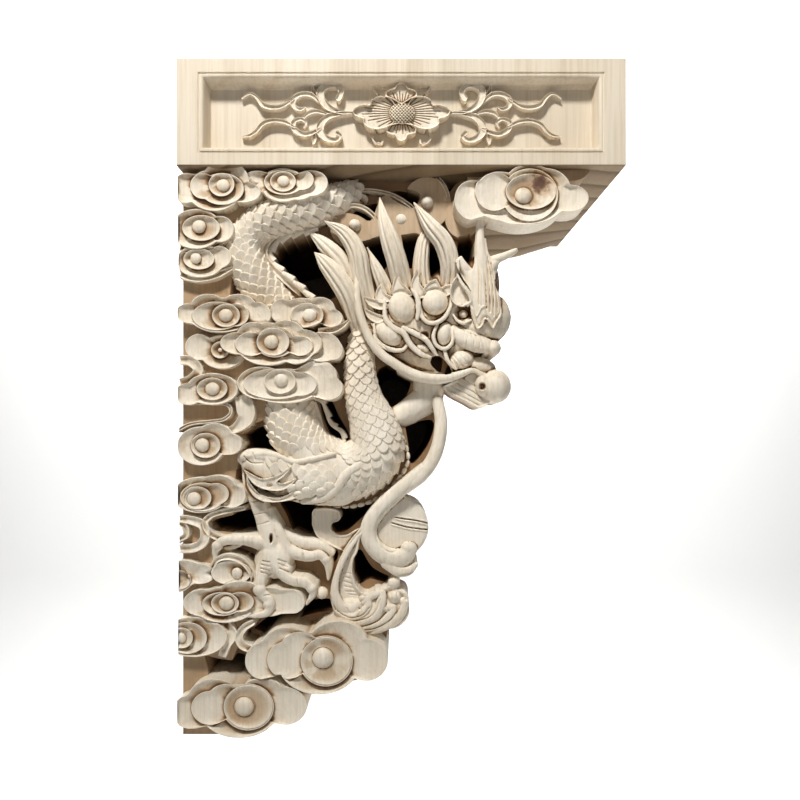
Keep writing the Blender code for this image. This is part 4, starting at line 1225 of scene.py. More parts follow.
# %% Lay the head's masses, then cut its details
HEAD_AREA = (346, 238, 516, 412)
head = new_map(HEAD_AREA, MAP_STEP, 60.0, (345.0, 240.0), 5.14)
BASE_MASSES = [(330, 430, 265, 250, 14.5, 26, 0), (560, 330, 165, 210, 14.5, 28, 0),
    (700, 230, 95, 170, 13, 26, 0), (748, 400, 106, 128, 10.5, 22, 0), (600, 520, 130, 120, 15, 24, 0),
    (430, 600, 210, 100, 16.5, 20, 15), (700, 452, 118, 58, 11.5, 12, 12)]
for mass in BASE_MASSES:
    lay_egg(head, *mass, melt=3.0)
LEAVES = [
    ([(275, 155), (252, 205), (238, 275), (280, 290), (345, 285), (320, 245), (292, 215)], 13.5),
    ([(386, 145), (350, 190), (338, 250), (365, 300), (425, 290), (408, 255), (384, 215)], 13.0),
    ([(470, 200), (430, 215), (400, 262), (430, 290), (500, 275), (488, 235)], 13.5),
    ([(185, 220), (160, 262), (160, 310), (200, 325), (255, 300), (205, 270)], 14.0),
    ([(88, 282), (120, 335), (180, 360), (225, 345), (200, 315), (140, 300)], 14.5),
    ([(92, 345), (115, 400), (170, 430), (215, 400), (150, 372)], 15.0),
    ([(128, 425), (150, 455), (190, 470), (200, 440), (160, 428)], 15.5),
    ([(545, 225), (500, 240), (470, 275), (500, 300), (550, 270)], 14.0)]
for outline, top in LEAVES:
    lay_leaf(head, outline, top - 1.6, 1.1, 1.8, 0.4)
PUFFS = [(293, 347, 70, 82, 7.4, 9.5, -22), (463, 320, 68, 67, 7.4, 9.5, 0),
    (222, 482, 78, 52, 9.0, 8.5, 38), (513, 482, 39, 60, 9.6, 8, 10)]
SOCKET = (1.08, 3.2)
for x, y, half_w, half_h, top, fall, turn in PUFFS:
    cut_pit(head, x, y, half_w * SOCKET[0], half_h * SOCKET[0], SOCKET[1])
    lay_egg(head, x, y, half_w, half_h, top, fall, turn, 0.3)
ROLLS = [
    ([(50, 158, 14, 3), (62, 210, 10, 15), (62, 300, 8, 20), (82, 400, 7, 22), (122, 500, 6.5, 23),
     (180, 580, 6, 24), (250, 632, 6, 24), (330, 680, 6, 25), (420, 708, 6, 25), (500, 712, 6.5, 24),
     (560, 700, 8, 22), (610, 684, 9.4, 17), (655, 670, 11, 13), (700, 690, 12.5, 14)], 0.8, 1.1),
    ([(203, 312, 12, 8), (208, 400, 9.6, 13), (245, 448, 9, 15), (300, 478, 8.8, 15), (335, 535, 9, 15),
     (385, 582, 9.6, 14), (440, 604, 11, 8)], 0.8, 0.8),
    ([(345, 255, 11, 7), (370, 290, 8.6, 13), (378, 350, 8, 14), (372, 405, 9, 9)], 0.8, 0.8),
    ([(386, 345, 11, 8), (396, 394, 9.4, 11), (430, 425, 9, 11), (475, 422, 9, 11), (517, 392, 9.4, 11),
     (544, 335, 10.5, 9), (544, 300, 12, 5)], 0.6, 0.8),
    ([(148, 440, 12, 7), (160, 507, 10.6, 10), (203, 549, 10, 12), (255, 567, 10, 12), (300, 563, 10.6, 10),
     (320, 535, 12, 6)], 0.6, 0.8),
    ([(476, 430, 11.6, 7), (455, 490, 10.4, 10), (468, 538, 10, 10), (510, 559, 10, 10),
     (548, 533, 10.4, 10), (556, 478, 11.6, 7)], 0.6, 0.8),
    ([(300, 450, 10, 10), (355, 478, 8.6, 14), (410, 508, 9, 14), (445, 552, 10, 12), (475, 600, 12, 7)],
     0.8, 0.8),
    ([(560, 480, 12, 42), (620, 505, 9, 52), (680, 530, 8, 50), (725, 545, 8.5, 40)], 0.8, 1.0),
    ([(510, 560, 12, 9), (528, 620, 11, 11), (570, 662, 12, 8)], 0.6, 1.0)]
for stops, melt, fullness in ROLLS:
    lay_roll(head, stops, melt, fullness)

# %% Lay the brow and its horns' roots
TRUNK = [(697, -40, 9.5, 36), (697, 0, 9.5, 40), (704, 90, 8.5, 58), (700, 170, 7.5, 86),
    (706, 250, 6.8, 92), (718, 340, 6.8, 92), (726, 440, 8.4, 92)]
FOREHEAD = [(668, -40), (668, 60), (664, 120), (650, 156), (628, 160), (606, 128), (596, 100), (574, 96),
    (566, 114), (600, 190), (638, 250), (640, 300), (643, 340), (653, 400), (676, 455), (698, 452),
    (714, 432), (722, 408), (738, 424), (761, 458), (782, 424), (807, 382), (801, 335), (797, 293),
    (783, 260), (772, 225), (774, 175), (790, 140), (770, 100), (745, 78), (730, 26), (722, -40)]
BROW_TIPS_PIXEL = 304
inside = inside_distance(head, FOREHEAD)
distance, values = near_route(head, close(head, TRUNK))
across = distance / np.maximum(values[..., 1], 1.0)
brow = values[..., 0] + 7.0 * (1 - np.sqrt(1 - np.clip(across, 0, 0.97) ** 2))
tips = np.clip((head["y"] - BROW_TIPS_PIXEL) / 10, 0, 1)
raised, sunk = np.exp(-((inside - 0.8) / 0.7) ** 2), np.exp(-((inside - 2.7) / 1.1) ** 2)
brow = brow - 1.4 * tips * raised + 1.3 * tips * sunk
head["depth"] = lay(head["depth"], np.where(inside > 0, brow, NOWHERE), 0.6)
HORN_ROOTS = [
    [(700, 200, 7.6, 40), (745, 138, 8.4, 34), (778, 110, 9.8, 22)],
    [(690, 240, 7.6, 44), (652, 196, 8.6, 34), (628, 160, 9.0, 26), (604, 126, 8.6, 20),
     (590, 108, 9.4, 16)]]
for stops in HORN_ROOTS:
    lay_roll(head, stops, 1.8, 0.9)
FLUTES = [
    ([(684, 60), (688, 130), (690, 240), (690, 330)], 1.0),
    ([(706, 20), (712, 120), (722, 230), (728, 350)], 1.3),
    ([(718, 60), (730, 130), (742, 230), (746, 370)], 1.2),
    ([(730, 90), (746, 150), (760, 240), (764, 390)], 1.1),
    ([(750, 120), (762, 180), (778, 260), (784, 370)], 1.0),
    ([(644, 260), (652, 330), (668, 388)], 0.7)]
for line, deep in FLUTES:
    cut_line(head, line, 0.7, 1.6 * deep)
    cut_line(head, [(x + 8, y) for x, y in line], 0.5, -0.5)
BROW_RIMS = ([(656, 352), (676, 392), (700, 352), (716, 340)], [(716, 340), (722, 372), (736, 404)])
for line in BROW_RIMS:
    cut_line(head, line, 0.65, -1.2)
print("brow from", round(float(brow[inside > 0].min()), 1), "to", round(float(brow[inside > 0].max()), 1),
      "mm deep")

# %% Lay the snout, the jaw and the ear
FACE_EGGS = [(688, 648, 88, 46, 16.5, 9, 8, 3.0), (765, 555, 38, 42, 7.5, 11, 0, 0.3),
    (600, 615, 62, 50, 10.5, 10, -10, 0.8), (776, 752, 79, 88, 5.5, 16, 0, 0.5),
    (712, 744, 46, 66, 9.0, 12, 0, 1.2), (400, 556, 34, 20, 12.5, 4, 30, 0.8)]
for egg in FACE_EGGS:
    lay_egg(head, *egg)
JAW_WEDGE = [(500, 752), (560, 722), (650, 672), (700, 690), (690, 770), (745, 832), (690, 866), (620, 832),
    (545, 792)]
lay_leaf(head, JAW_WEDGE, 16.5, 1.6, 1.4, 0.5)
EAR = [(580, 172), (546, 228), (540, 290), (565, 332), (610, 345), (648, 318), (652, 280), (612, 235)]
EAR_RIM = [(577, 176, 7.6, 5), (600, 222, 6.6, 9), (632, 266, 6.2, 11), (648, 312, 7.4, 9), (630, 338, 9, 6)]
lay_leaf(head, EAR, 7.4, 1.6, 5.2, 0.4)
lay_roll(head, EAR_RIM, 0.3)

# %% Cut the face's grooves, eye and mouth
GROOVES = [
    [(606, 458), (628, 500), (618, 552)],
    [(640, 470), (664, 515), (656, 572)],
    [(672, 492), (692, 530), (686, 586)],
    [(700, 510), (716, 545), (712, 592)],
    [(560, 470), (566, 520), (556, 560)],
    [(90, 320), (112, 410), (160, 500), (230, 575), (320, 635), (420, 668)],
    [(556, 590), (600, 640), (640, 650)],
    [(548, 610), (585, 655)],
    [(575, 575), (622, 625)],
    [(520, 765), (600, 806), (690, 852)],
    [(545, 748), (620, 790), (700, 835)],
    [(575, 735), (640, 770), (705, 812)],
    [(610, 712), (660, 745), (690, 770)],
    [(740, 500), (790, 512), (815, 490)],
    [(560, 440), (620, 470), (700, 500)]]
for line in GROOVES:
    cut_line(head, line, 0.6, 1.0)
PITS = [(410, 486, 22, 20, 5.0), (706, 752, 17, 20, 9.0), (604, 370, 42, 38, 6.0)]
for pit in PITS:
    cut_pit(head, *pit)
EYE_BALL = (608, 382, 23, 21, 14.5, 6, 0, 0.3)
EYE_RIM = [(556, 384, 13, 5), (578, 414, 11, 8), (612, 428, 10.4, 9), (646, 412, 11, 6)]
lay_egg(head, *EYE_BALL)
lay_roll(head, EYE_RIM, 0.5)
PUFF_RIBS = 26
RIBBED_PUFFS = [(292, 345, 72, 76), (463, 318, 66, 62), (222, 484, 66, 46)]
for number in range(PUFF_RIBS):
    turn = 2 * math.pi * number / PUFF_RIBS
    for x, y, half_w, half_h in RIBBED_PUFFS:
        rib = [(x + half_w * reach * math.cos(turn), y + half_h * reach * math.sin(turn))
               for reach in (0.80, 0.97)]
        cut_line(head, rib, 0.35, 0.35)
MOUTH = [(446, 604), (482, 596), (526, 636), (548, 682), (505, 690), (462, 664), (440, 632)]
cut_hole(head, MOUTH, 44.0)
head_piece = map_piece("head", head, 45.0, 54.0)
print("head faces:", len(head_piece.data.polygons))

# %% [markdown]
# ## Tail leaf, pearl and whisker end
#
# At the bottom right the whisker curls round the pearl, a plain disc with two splits in it, and
# the tail ends in a leaf of curled lobes with small knobs. This close view is 6.11 times as large.

# %% Carve the tail leaf
LEAF_AREA = (312, 462, 436, 642)
tail = new_map(LEAF_AREA, MAP_STEP, 70.0, (320.0, 480.0), 6.11)
PEARL = [(500, 96), (590, 130), (645, 200), (664, 290), (645, 370), (605, 425), (540, 470), (440, 480),
    (350, 420), (330, 300), (370, 180), (430, 110)]
PEARL_DEPTH = 20
inside = inside_distance(tail, PEARL)
tail["depth"] = np.where(inside > 0, PEARL_DEPTH + 1.2 * np.clip(1 - inside / 3, 0, 1), tail["depth"])
SCROLL_PLATE = [(-40, 175), (40, 172), (105, 182), (124, 205), (126, 240), (104, 258), (78, 264), (68, 292),
    (84, 322), (120, 338), (168, 334), (215, 305), (250, 300), (232, 360), (190, 400), (140, 432), (85, 412),
    (40, 388), (0, 366), (-30, 330), (-52, 270), (-56, 215)]
lay_leaf(tail, SCROLL_PLATE, 25.0, 1.4, 1.0, 0.0)
STEM = [(290, 250), (215, 330), (165, 395), (118, 480), (78, 590), (62, 680), (72, 770), (110, 845),
    (170, 890), (240, 925), (300, 950), (360, 930), (440, 885), (500, 840), (535, 790), (542, 730),
    (520, 690), (470, 670), (420, 650), (330, 690), (262, 690), (215, 630), (198, 560), (204, 490),
    (230, 440), (245, 360)]
lay_leaf(tail, STEM, 13.0, 2.0, 2.6, 0.0)
LEAF_MASSES = [(315, 812, 215, 118, 10.2, 12, -8), (200, 800, 120, 90, 10.2, 10, 0),
    (430, 800, 120, 110, 11.5, 12, -30)]
for mass in LEAF_MASSES:
    lay_egg(tail, *mass, melt=1.5)
LEAF_ROLLS = [
    ([(245, 330, 13, 8), (190, 405, 11, 14), (138, 500, 9.5, 17), (100, 600, 9, 19), (92, 690, 9, 26),
     (124, 768, 9, 34), (185, 795, 9, 34), (232, 765, 10, 26)], 1.0, 0.6),
    ([(110, 806, 10, 20), (190, 838, 8.0, 28), (252, 818, 8.0, 28), (292, 772, 8.6, 24),
     (296, 722, 9.6, 18)], 0.3, 0.7),
    ([(130, 850, 11, 20), (222, 876, 8.0, 28), (314, 850, 7.4, 34), (356, 798, 7.4, 34), (376, 742, 8, 30),
     (384, 705, 9.5, 22)], 0.3, 0.7),
    ([(180, 895, 12, 14), (282, 906, 8.6, 26), (384, 868, 8, 30), (436, 818, 8.4, 28), (448, 780, 9.6, 20)],
     0.3, 0.7),
    ([(250, 930, 13, 12), (345, 922, 9.4, 20), (444, 872, 8.8, 26), (500, 812, 9, 26), (520, 752, 9.6, 22)],
     0.3, 0.7),
    ([(262, 752, 10, 12), (300, 722, 9.4, 20), (340, 700, 9.4, 22), (385, 690, 10, 18)], 0.4, 0.8)]
for stops, melt, fullness in LEAF_ROLLS:
    lay_roll(tail, stops, melt, fullness)
KNOBS = [(450, 636, 40, 40, 11.5, 8), (455, 716, 46, 44, 8.5, 9), (414, 786, 34, 30, 8.5, 7),
    (508, 742, 26, 30, 10, 7), (262, 722, 24, 24, 10, 6), (352, 676, 26, 18, 12, 5),
    (398, 668, 24, 18, 12.5, 5)]
for knob in KNOBS:
    lay_egg(tail, *knob, melt=0.3)
WHISKER_END = [(640, -66, 7, 40), (540, 20, 7.6, 45), (440, 104, 9.4, 48), (350, 195, 10.6, 50),
    (300, 280, 11, 52), (305, 370, 11, 54), (360, 440, 11, 58), (440, 478, 11, 62), (510, 470, 10.5, 60),
    (548, 425, 11, 48)]
lay_roll(tail, WHISKER_END, 0.3, 0.9)
WHISKER_BUD = (540, 418, 50, 40, 10.0, 10, 20, 0.4)
WHISKER_FOLD = [(400, 515, 13, 30), (480, 560, 12.5, 34), (540, 556, 12.5, 30), (586, 520, 13.5, 16)]
lay_egg(tail, *WHISKER_BUD)
lay_roll(tail, WHISKER_FOLD, 0.8, 0.9)
INNER_BEVEL = [(470, 120), (385, 200), (342, 290), (350, 370), (395, 425), (450, 440), (492, 412)]
cut_line(tail, INNER_BEVEL, 1.0, 1.2)
LEAF_LINES = [
    ([(150, 560), (190, 575)], 0.5),
    ([(146, 590), (192, 605)], 0.5),
    ([(146, 620), (196, 634)], 0.5),
    ([(150, 650), (204, 660)], 0.5),
    ([(156, 680), (214, 684)], 0.5),
    ([(180, 700), (250, 708)], 0.4),
    ([(105, 800), (150, 830), (200, 842), (262, 822), (300, 780)], 1.0),
    ([(122, 846), (200, 862), (300, 838), (345, 790), (366, 730)], 0.9),
    ([(165, 886), (260, 892), (350, 862), (404, 810)], 0.9),
    ([(225, 920), (330, 908), (420, 862), (470, 806)], 0.9),
    ([(236, 780), (250, 800), (232, 830)], 0.7),
    ([(160, 780), (180, 810)], 0.5),
    ([(455, 670), (450, 700)], 0.7),
    ([(430, 690), (440, 740)], 0.6),
    ([(470, 690), (476, 740)], 0.6),
    ([(400, 770), (420, 800)], 0.7),
    ([(470, 585), (540, 575), (590, 545)], 0.8)]
for line, deep in LEAF_LINES:
    cut_line(tail, line, 0.65, 1.7 * deep)
SPLITS = [[(462, 228), (520, 238), (580, 246), (662, 264)], [(440, 262), (500, 280), (560, 292), (662, 304)]]
for line in SPLITS:
    cut_line(tail, [(x, y + 11) for x, y in line], 0.8, -1.0)
    cut_line(tail, [(x, y - 9) for x, y in line], 0.6, -0.6)
    cut_line(tail, line, 0.6, 3.2)
tail_piece = map_piece("tail_leaf", tail, 40.0, 52.0)
print("tail leaf faces:", len(tail_piece.data.polygons))

# %% [markdown]
# ## The arm and the claw
#
# The upper arm is scaled, edged by two flame-shaped fringes. The claw is gnarled like a root: rolls
# that melt into a palm, with knuckles and creased pads. This close view is 3.235 times as large.

# %% Carve the arm and the claw
CLAW_AREA = (206, 440, 376, 624)
claw = new_map(CLAW_AREA, MAP_STEP, 70.0, (170.0, 410.0), 3.235)
ARM_ROLLS = [
    ([(545, 232, 4.6, 80), (450, 226, 3.6, 80), (372, 212, 3.4, 72), (310, 190, 4.4, 55),
     (262, 172, 6.6, 34)], 1.0, 0.9),
    ([(236, 158, 9, 20), (262, 148, 6, 24), (300, 150, 5, 22), (340, 160, 3, 18)], 1.5, 1.0),
    ([(255, 190, 11, 24), (262, 250, 10, 24), (286, 310, 9.5, 25), (306, 370, 9, 27), (318, 430, 8, 32),
     (312, 500, 8, 36)], 1.5, 0.9),
    ([(320, 330, 13, 14), (346, 380, 12, 16), (372, 440, 12, 20)], 1.5, 0.8),
    ([(318, 440, 9, 26), (262, 424, 6, 20), (215, 420, 4.5, 16), (170, 424, 3.5, 16), (148, 450, 4.5, 13),
     (146, 492, 8, 5)], 1.5, 1.0),
    ([(160, 430, 10, 10), (190, 446, 11, 10), (224, 436, 10, 8)], 1.0, 1.0),
    ([(314, 470, 7, 30), (298, 530, 5.5, 25), (290, 580, 3.5, 21), (322, 618, 3, 18), (318, 650, 3, 15),
     (292, 664, 4, 10), (232, 668, 6, 3)], 1.5, 1.0),
    ([(330, 470, 8, 28), (356, 520, 6, 22), (392, 550, 5, 18), (440, 560, 4.5, 18), (462, 592, 5, 14),
     (442, 628, 8, 5)], 1.5, 1.0),
    ([(345, 440, 12, 30), (400, 462, 12, 22), (450, 474, 12.5, 18), (486, 470, 12.5, 16), (510, 500, 13, 14),
     (512, 548, 16, 5)], 1.5, 1.0),
    ([(360, 400, 16, 20), (420, 430, 17, 22), (480, 440, 18, 20), (520, 462, 19, 14)], 1.5, 0.8)]
for stops, melt, fullness in ARM_ROLLS:
    lay_roll(claw, stops, melt, fullness)
PALM = (334, 486, 62, 60, 7.0, 11, 20, 2.0)
lay_egg(claw, *PALM)
KNUCKLES = [(290, 582, 24, 22, 2.0, 7), (152, 440, 19, 18, 2.6, 6), (458, 578, 19, 18, 3.2, 6),
    (504, 486, 17, 16, 11.5, 6), (318, 630, 18, 18, 2.0, 6), (240, 150, 20, 18, 5.5, 7),
    (306, 512, 22, 34, 6.0, 8), (372, 520, 24, 26, 7, 7)]
for knuckle in KNUCKLES:
    lay_egg(claw, *knuckle, melt=1.0)
FRINGES = [
    ([(236, 190), (262, 206), (300, 222), (345, 212), (392, 182), (372, 212), (348, 232), (372, 236),
     (410, 222), (384, 250), (350, 262), (300, 256), (262, 232)], 0.6),
    ([(246, 205), (262, 240), (296, 274), (350, 284), (400, 262), (440, 232), (420, 268), (396, 290),
     (330, 300), (280, 286), (252, 250)], 1.4)]
for outline, top in FRINGES:
    lay_leaf(claw, outline, top, 0.9, 1.6, 0.5)
STRAPS = [
    ([(640, 168, 3, 14), (590, 192, 1.2, 15), (560, 220, 0.8, 15), (534, 258, 1.4, 15), (494, 284, 3.4, 14),
     (430, 298, 8, 9)], 0.3, 0.9),
    ([(236, 152, 6, 8), (300, 142, 4.5, 9), (350, 150, 3, 9), (400, 168, 2, 9), (460, 158, 2.5, 9),
     (530, 142, 5, 8)], 0.4, 1.0)]
for stops, melt, fullness in STRAPS:
    lay_roll(claw, stops, melt, fullness)
WRIST_PITS = [(322, 244, 9.705, 8.411, 3.0), (327, 415, 5.823, 16.175, 9.0)]
for pit in WRIST_PITS:
    cut_pit(claw, *pit)
CREASES = [
    ([(300, 488), (322, 492)], 0.8),
    ([(296, 500), (324, 506)], 0.8),
    ([(294, 512), (322, 520)], 0.8),
    ([(294, 524), (318, 532)], 0.8),
    ([(350, 484), (376, 492)], 0.8),
    ([(352, 498), (380, 508)], 0.8),
    ([(354, 512), (384, 524)], 0.8),
    ([(258, 300), (300, 290)], 0.5),
    ([(272, 340), (312, 330)], 0.5),
    ([(284, 372), (320, 362)], 0.5),
    ([(204, 410), (206, 434)], 0.6),
    ([(236, 412), (238, 438)], 0.6),
    ([(410, 548), (414, 572)], 0.6),
    ([(304, 600), (336, 596)], 0.7),
    ([(430, 466), (436, 486)], 0.6),
    ([(232, 196), (252, 236), (282, 270), (340, 292)], 0.9),
    ([(240, 150), (262, 170), (300, 172)], 0.9),
    ([(268, 140), (276, 160)], 0.7)]
for line, deep in CREASES:
    cut_line(claw, line, 0.65, 1.7 * deep)
NEAREST = 0.4
claw["depth"] = np.maximum(claw["depth"], NEAREST)
claw_piece = map_piece("arm_and_claw", claw, 40.0, 56.0)
print("arm and claw faces:", len(claw_piece.data.polygons))

# %% Set the arm's scales
ARM_SPINE = [(340, 481, 24.4, 24.6), (312, 480, 23.4, 24.6), (285, 475, 20.6, 22), (266, 469, 18.4, 17)]
ARM_SCALES_AREA = [(268, 457), (300, 458), (334, 458), (356, 461), (342, 474), (335, 488), (322, 496),
    (290, 497), (296, 484), (300, 472), (290, 466), (276, 472), (262, 466)]
places, facings, _, sizes = scales_on(ARM_SPINE, 10.0, 6.4, 80)
ARM_TIP = (-0.45, 0.0, 0.9)
kept = [index for index, place in enumerate(places) if within(ARM_SCALES_AREA, *pixel_of(place))]
set_copies("scales_arm", scale, [places[i] for i in kept], [facings[i] for i in kept], [ARM_TIP] * len(kept),
           [sizes[i] for i in kept], wood)
print("scales on the arm:", len(kept))

# %% [markdown]
# ## Ribbons of cloud
#
# Between the clouds run ribbons with raised rims and a sunk middle, like the clouds' own tiers.
# A ribbon is one cross-section carried along a route.

# %% Make the ribbons, fins and belly beads
def ribbon(stops, back=30.0, rim=0.9, drop=2.4, gap=1.2):
    """A sunk band with raised rims along stops of (px, py, rim depth, half width in pixels)."""
    rows = smooth_route(stops, gap)
    ahead = unit(np.gradient(rows[:, :2], axis=0))
    across = np.stack([-ahead[:, 1], ahead[:, 0]], axis=1)
    lip, width = rows[:, 2], np.maximum(rows[:, 3], 0.5)
    edge = np.minimum(rim, width * 0.4)
    profile = []
    for side in (-1, 1):
        bank = [(side * width, np.full_like(lip, back)), (side * width, lip + 1.0),
                (side * (width - 0.12), lip + 0.25),
                (side * (width - edge * 0.5), lip), (side * (width - edge), lip + 0.3),
                (side * (width - edge) * 0.62, lip + drop * 0.72), (side * (width - edge) * 0.25, lip + drop)]
        profile += bank if side < 0 else bank[::-1]
    offsets = np.stack([np.broadcast_to(offset, lip.shape) for offset, _ in profile], axis=1)
    depths = np.stack([depth for _, depth in profile], axis=1)
    px = rows[:, :1] + offsets * across[:, :1]
    py = rows[:, 1:2] + offsets * across[:, 1:]
    grid = seen(px, py, depths)
    for wall, lip_point in ((0, 1), (-1, -2)):
        grid[:, wall, 0] = grid[:, lip_point, 0]
        grid[:, wall, 2] = grid[:, lip_point, 2]
    return closed_skin(grid)


RIBBONS = {
    "slot_rim": [(176, 431, 6.6, 1.4), (190, 424, 6, 1.7), (210, 421.5, 6, 1.7), (223, 419.5, 6, 1.8),
        (230.5, 413, 6, 1.8), (228, 405.5, 6.4, 1.8), (214, 402.5, 7, 1.6), (192, 404, 8, 1.2)],
    "slot_band": [(240, 395, 7, 6), (245, 407, 6, 9), (245.5, 418, 6, 8), (236, 428, 6.4, 5),
        (222, 432.5, 7.5, 3)],
    "under_m": [(244, 508, 7, 2.2), (226, 511, 6.4, 2.8), (211, 515.5, 6, 3), (205, 524, 6, 3.2),
        (212, 535, 6, 3.2), (230, 540, 6.4, 3.2), (256, 541, 8, 2.6)],
    "left_wave": [(176, 519, 7, 3.4), (190, 520, 6, 4.4), (203, 526, 6, 4.8), (204, 540, 6, 4.8),
        (194, 548, 6, 4.4), (176, 549, 7, 4)],
    "left_ring": [(176, 522, 7.6, 2), (184, 526, 7, 3), (186, 535, 7, 3.2), (176, 541, 7.6, 2.4)],
    "hook": [(254, 622, 7, 3), (244, 628, 6, 3.6), (239, 637, 6, 4), (243, 646, 6, 4.2),
        (258, 651, 6.5, 3.4)],
    "wave_low": [(226, 624, 7.5, 4), (232, 634, 7.5, 5), (226, 645, 7.5, 5), (222, 657, 7.5, 4)],
    "o_hook": [(212, 568, 6, 2.6), (217, 560, 5.4, 3), (229, 557, 5, 3.4), (243, 562, 5, 3.4),
        (252, 574, 5.6, 3), (253, 584, 7, 2)],
    "f_tail": [(318, 331, 7, 3), (332, 330, 6, 3.6), (343, 325, 6, 2.8), (349, 320, 8, 1)],
    "k_ring": [(176, 360, 7, 4), (190, 361, 6, 5), (198, 370, 6, 5), (190, 380, 6, 5), (176, 383, 7, 4)],
    "d_band": [(176, 273, 7, 4), (196, 278, 6.5, 4), (216, 275, 6.5, 3.6), (232, 268, 7.5, 2)],
    "c_band": [(176, 246, 7, 4), (192, 250, 6.5, 4), (210, 247, 6.5, 3.6), (226, 240, 7.5, 2)],
    "disc_arc": [(341, 214, 24, 1.4), (350, 206, 21, 2.2), (362, 207, 20, 2.4), (374, 216, 21, 2.2),
        (380, 228, 24, 1.4)],
    "disc_arc_top": [(346, 196, 25, 1.2), (366, 190, 22, 1.6), (390, 194, 21, 2), (408, 204, 21, 2),
        (420, 216, 24, 1.2)],
    "disc_arc_right": [(428, 172, 25, 1.2), (440, 180, 22, 1.8), (447, 192, 21, 2), (449, 206, 24, 1.4)],
    "arch_band": [(326, 222, 24, 2.6), (312, 224, 22, 3.2), (294, 228, 21, 3.4), (277, 233, 20, 3.6),
        (267, 242, 19, 3.6), (264, 254, 19, 3.6), (270, 266, 20, 3.6), (284, 279, 22, 3.4),
        (298, 291, 25, 3), (308, 299, 29, 2.4)]}
add_piece("ribbons", *join_skins([ribbon(stops) for stops in RIBBONS.values()]), wood)


def fin(stops, teeth, reach, front, back):
    """A flat fin along a route of (px, py) with rounded teeth to its left side."""
    rows = smooth_route([(px, py, 0.0) for px, py in stops], 0.6)
    ahead = unit(np.gradient(rows[:, :2], axis=0))
    left = np.stack([ahead[:, 1], -ahead[:, 0]], axis=1)
    along = np.linspace(0, teeth, len(rows))
    tooth = 0.35 + 0.65 * np.mod(along, 1.0) ** 0.8
    tip = rows[:, :2] + left * (tooth * reach)[:, None]
    root = rows[:, :2] - left * 1.6
    profile = [seen(root[:, 0], root[:, 1], front - 0.5), seen(tip[:, 0], tip[:, 1], front + 0.4),
               seen(tip[:, 0], tip[:, 1], front + 1.2)]
    tip_back, root_back = profile[2].copy(), profile[0].copy()
    tip_back[:, 1] = root_back[:, 1] = FRONT + back * MM
    return closed_skin(np.stack(profile + [tip_back, root_back], axis=1))


FINS = [
    ([(318, 228), (294, 233), (280, 239), (272, 247), (269, 256), (275, 266), (288, 278), (302, 290),
     (312, 300)], 9, 6.0, 22, 60),
    ([(312, 398), (322, 402), (326, 412), (331, 424), (341, 432), (344, 442), (344, 452)], 5, 4.5, 24, 60),
    ([(341, 455), (334, 448), (327, 440), (322, 428), (318, 414), (314, 402)], 5, 4.5, 24, 60)]
add_piece("fins", *join_skins([fin(*values) for values in FINS]), wood)

BELLY_ROUTE = [(369, 378, 27, 5), (377, 392, 27, 5), (385, 410, 27, 5), (396, 424, 27, 5), (404, 441, 27, 5),
    (408, 458, 28, 5), (404, 471, 28, 5), (395, 483, 28, 5), (384, 494, 28, 5), (370, 502, 28, 5),
    (354, 506, 28, 5), (337, 506, 28, 5)]
BELLY_GAP = 7.4
BELLY_BEAD = (4.6 * MM, 8.0 * MM, 4.0 * MM)
route = smooth_route(BELLY_ROUTE, 0.4)
spots = seen(route[:, 0], route[:, 1], route[:, 2])
ahead, sideways, facing = route_frames(spots)
walked = travelled(spots)
marks = [int(np.searchsorted(walked, at)) for at in np.arange(0, walked[-1], BELLY_GAP * MM)]
set_copies("belly_beads", bead, spots[marks], facing[marks], ahead[marks], [BELLY_BEAD] * len(marks), wood)
print("ribbons:", len(RIBBONS), "belly beads:", len(marks))

# %% [markdown]
# ## The flower panel
#
# The panel's flower has four petals, each with a middle lobe and two side lobes and fine ribs, and
# a domed boss of seeds. On each side two leaf scrolls and two wavy tails mirror each other.

# %% Carve the flower and the scrolls
PANEL_AREA = (234, 80, 569, 147)
FLOWER_MIDDLE = 690.2532
panel = new_map(PANEL_AREA, 0.44, 13.4, (225.0, 60.0), 3.913)


def mirrored(points, mirror):
    """The same points, or their mirror image about the flower's middle."""
    return [(2 * FLOWER_MIDDLE - x, *rest) for x, *rest in points] if mirror else points


def lay_channel(carving, stops, drop=2.0, rim=0.8):
    """A band with raised rims and a sunk middle along (x, y, rim depth, half width)."""
    distance, values = near_route(carving, close(carving, stops), 0.6)
    lip, width = values[..., 0], np.maximum(values[..., 1], 0.3)
    inner = np.clip((width - distance - rim * 0.5) / rim, 0, 1)
    form = lip + drop * np.minimum(1, width / 2.4) * inner * inner * (3 - 2 * inner)
    form = np.where(distance < width, form + 1.2 * np.clip(0.4 - (width - distance), 0, 0.4), NOWHERE)
    carving["depth"] = np.minimum(carving["depth"], form)


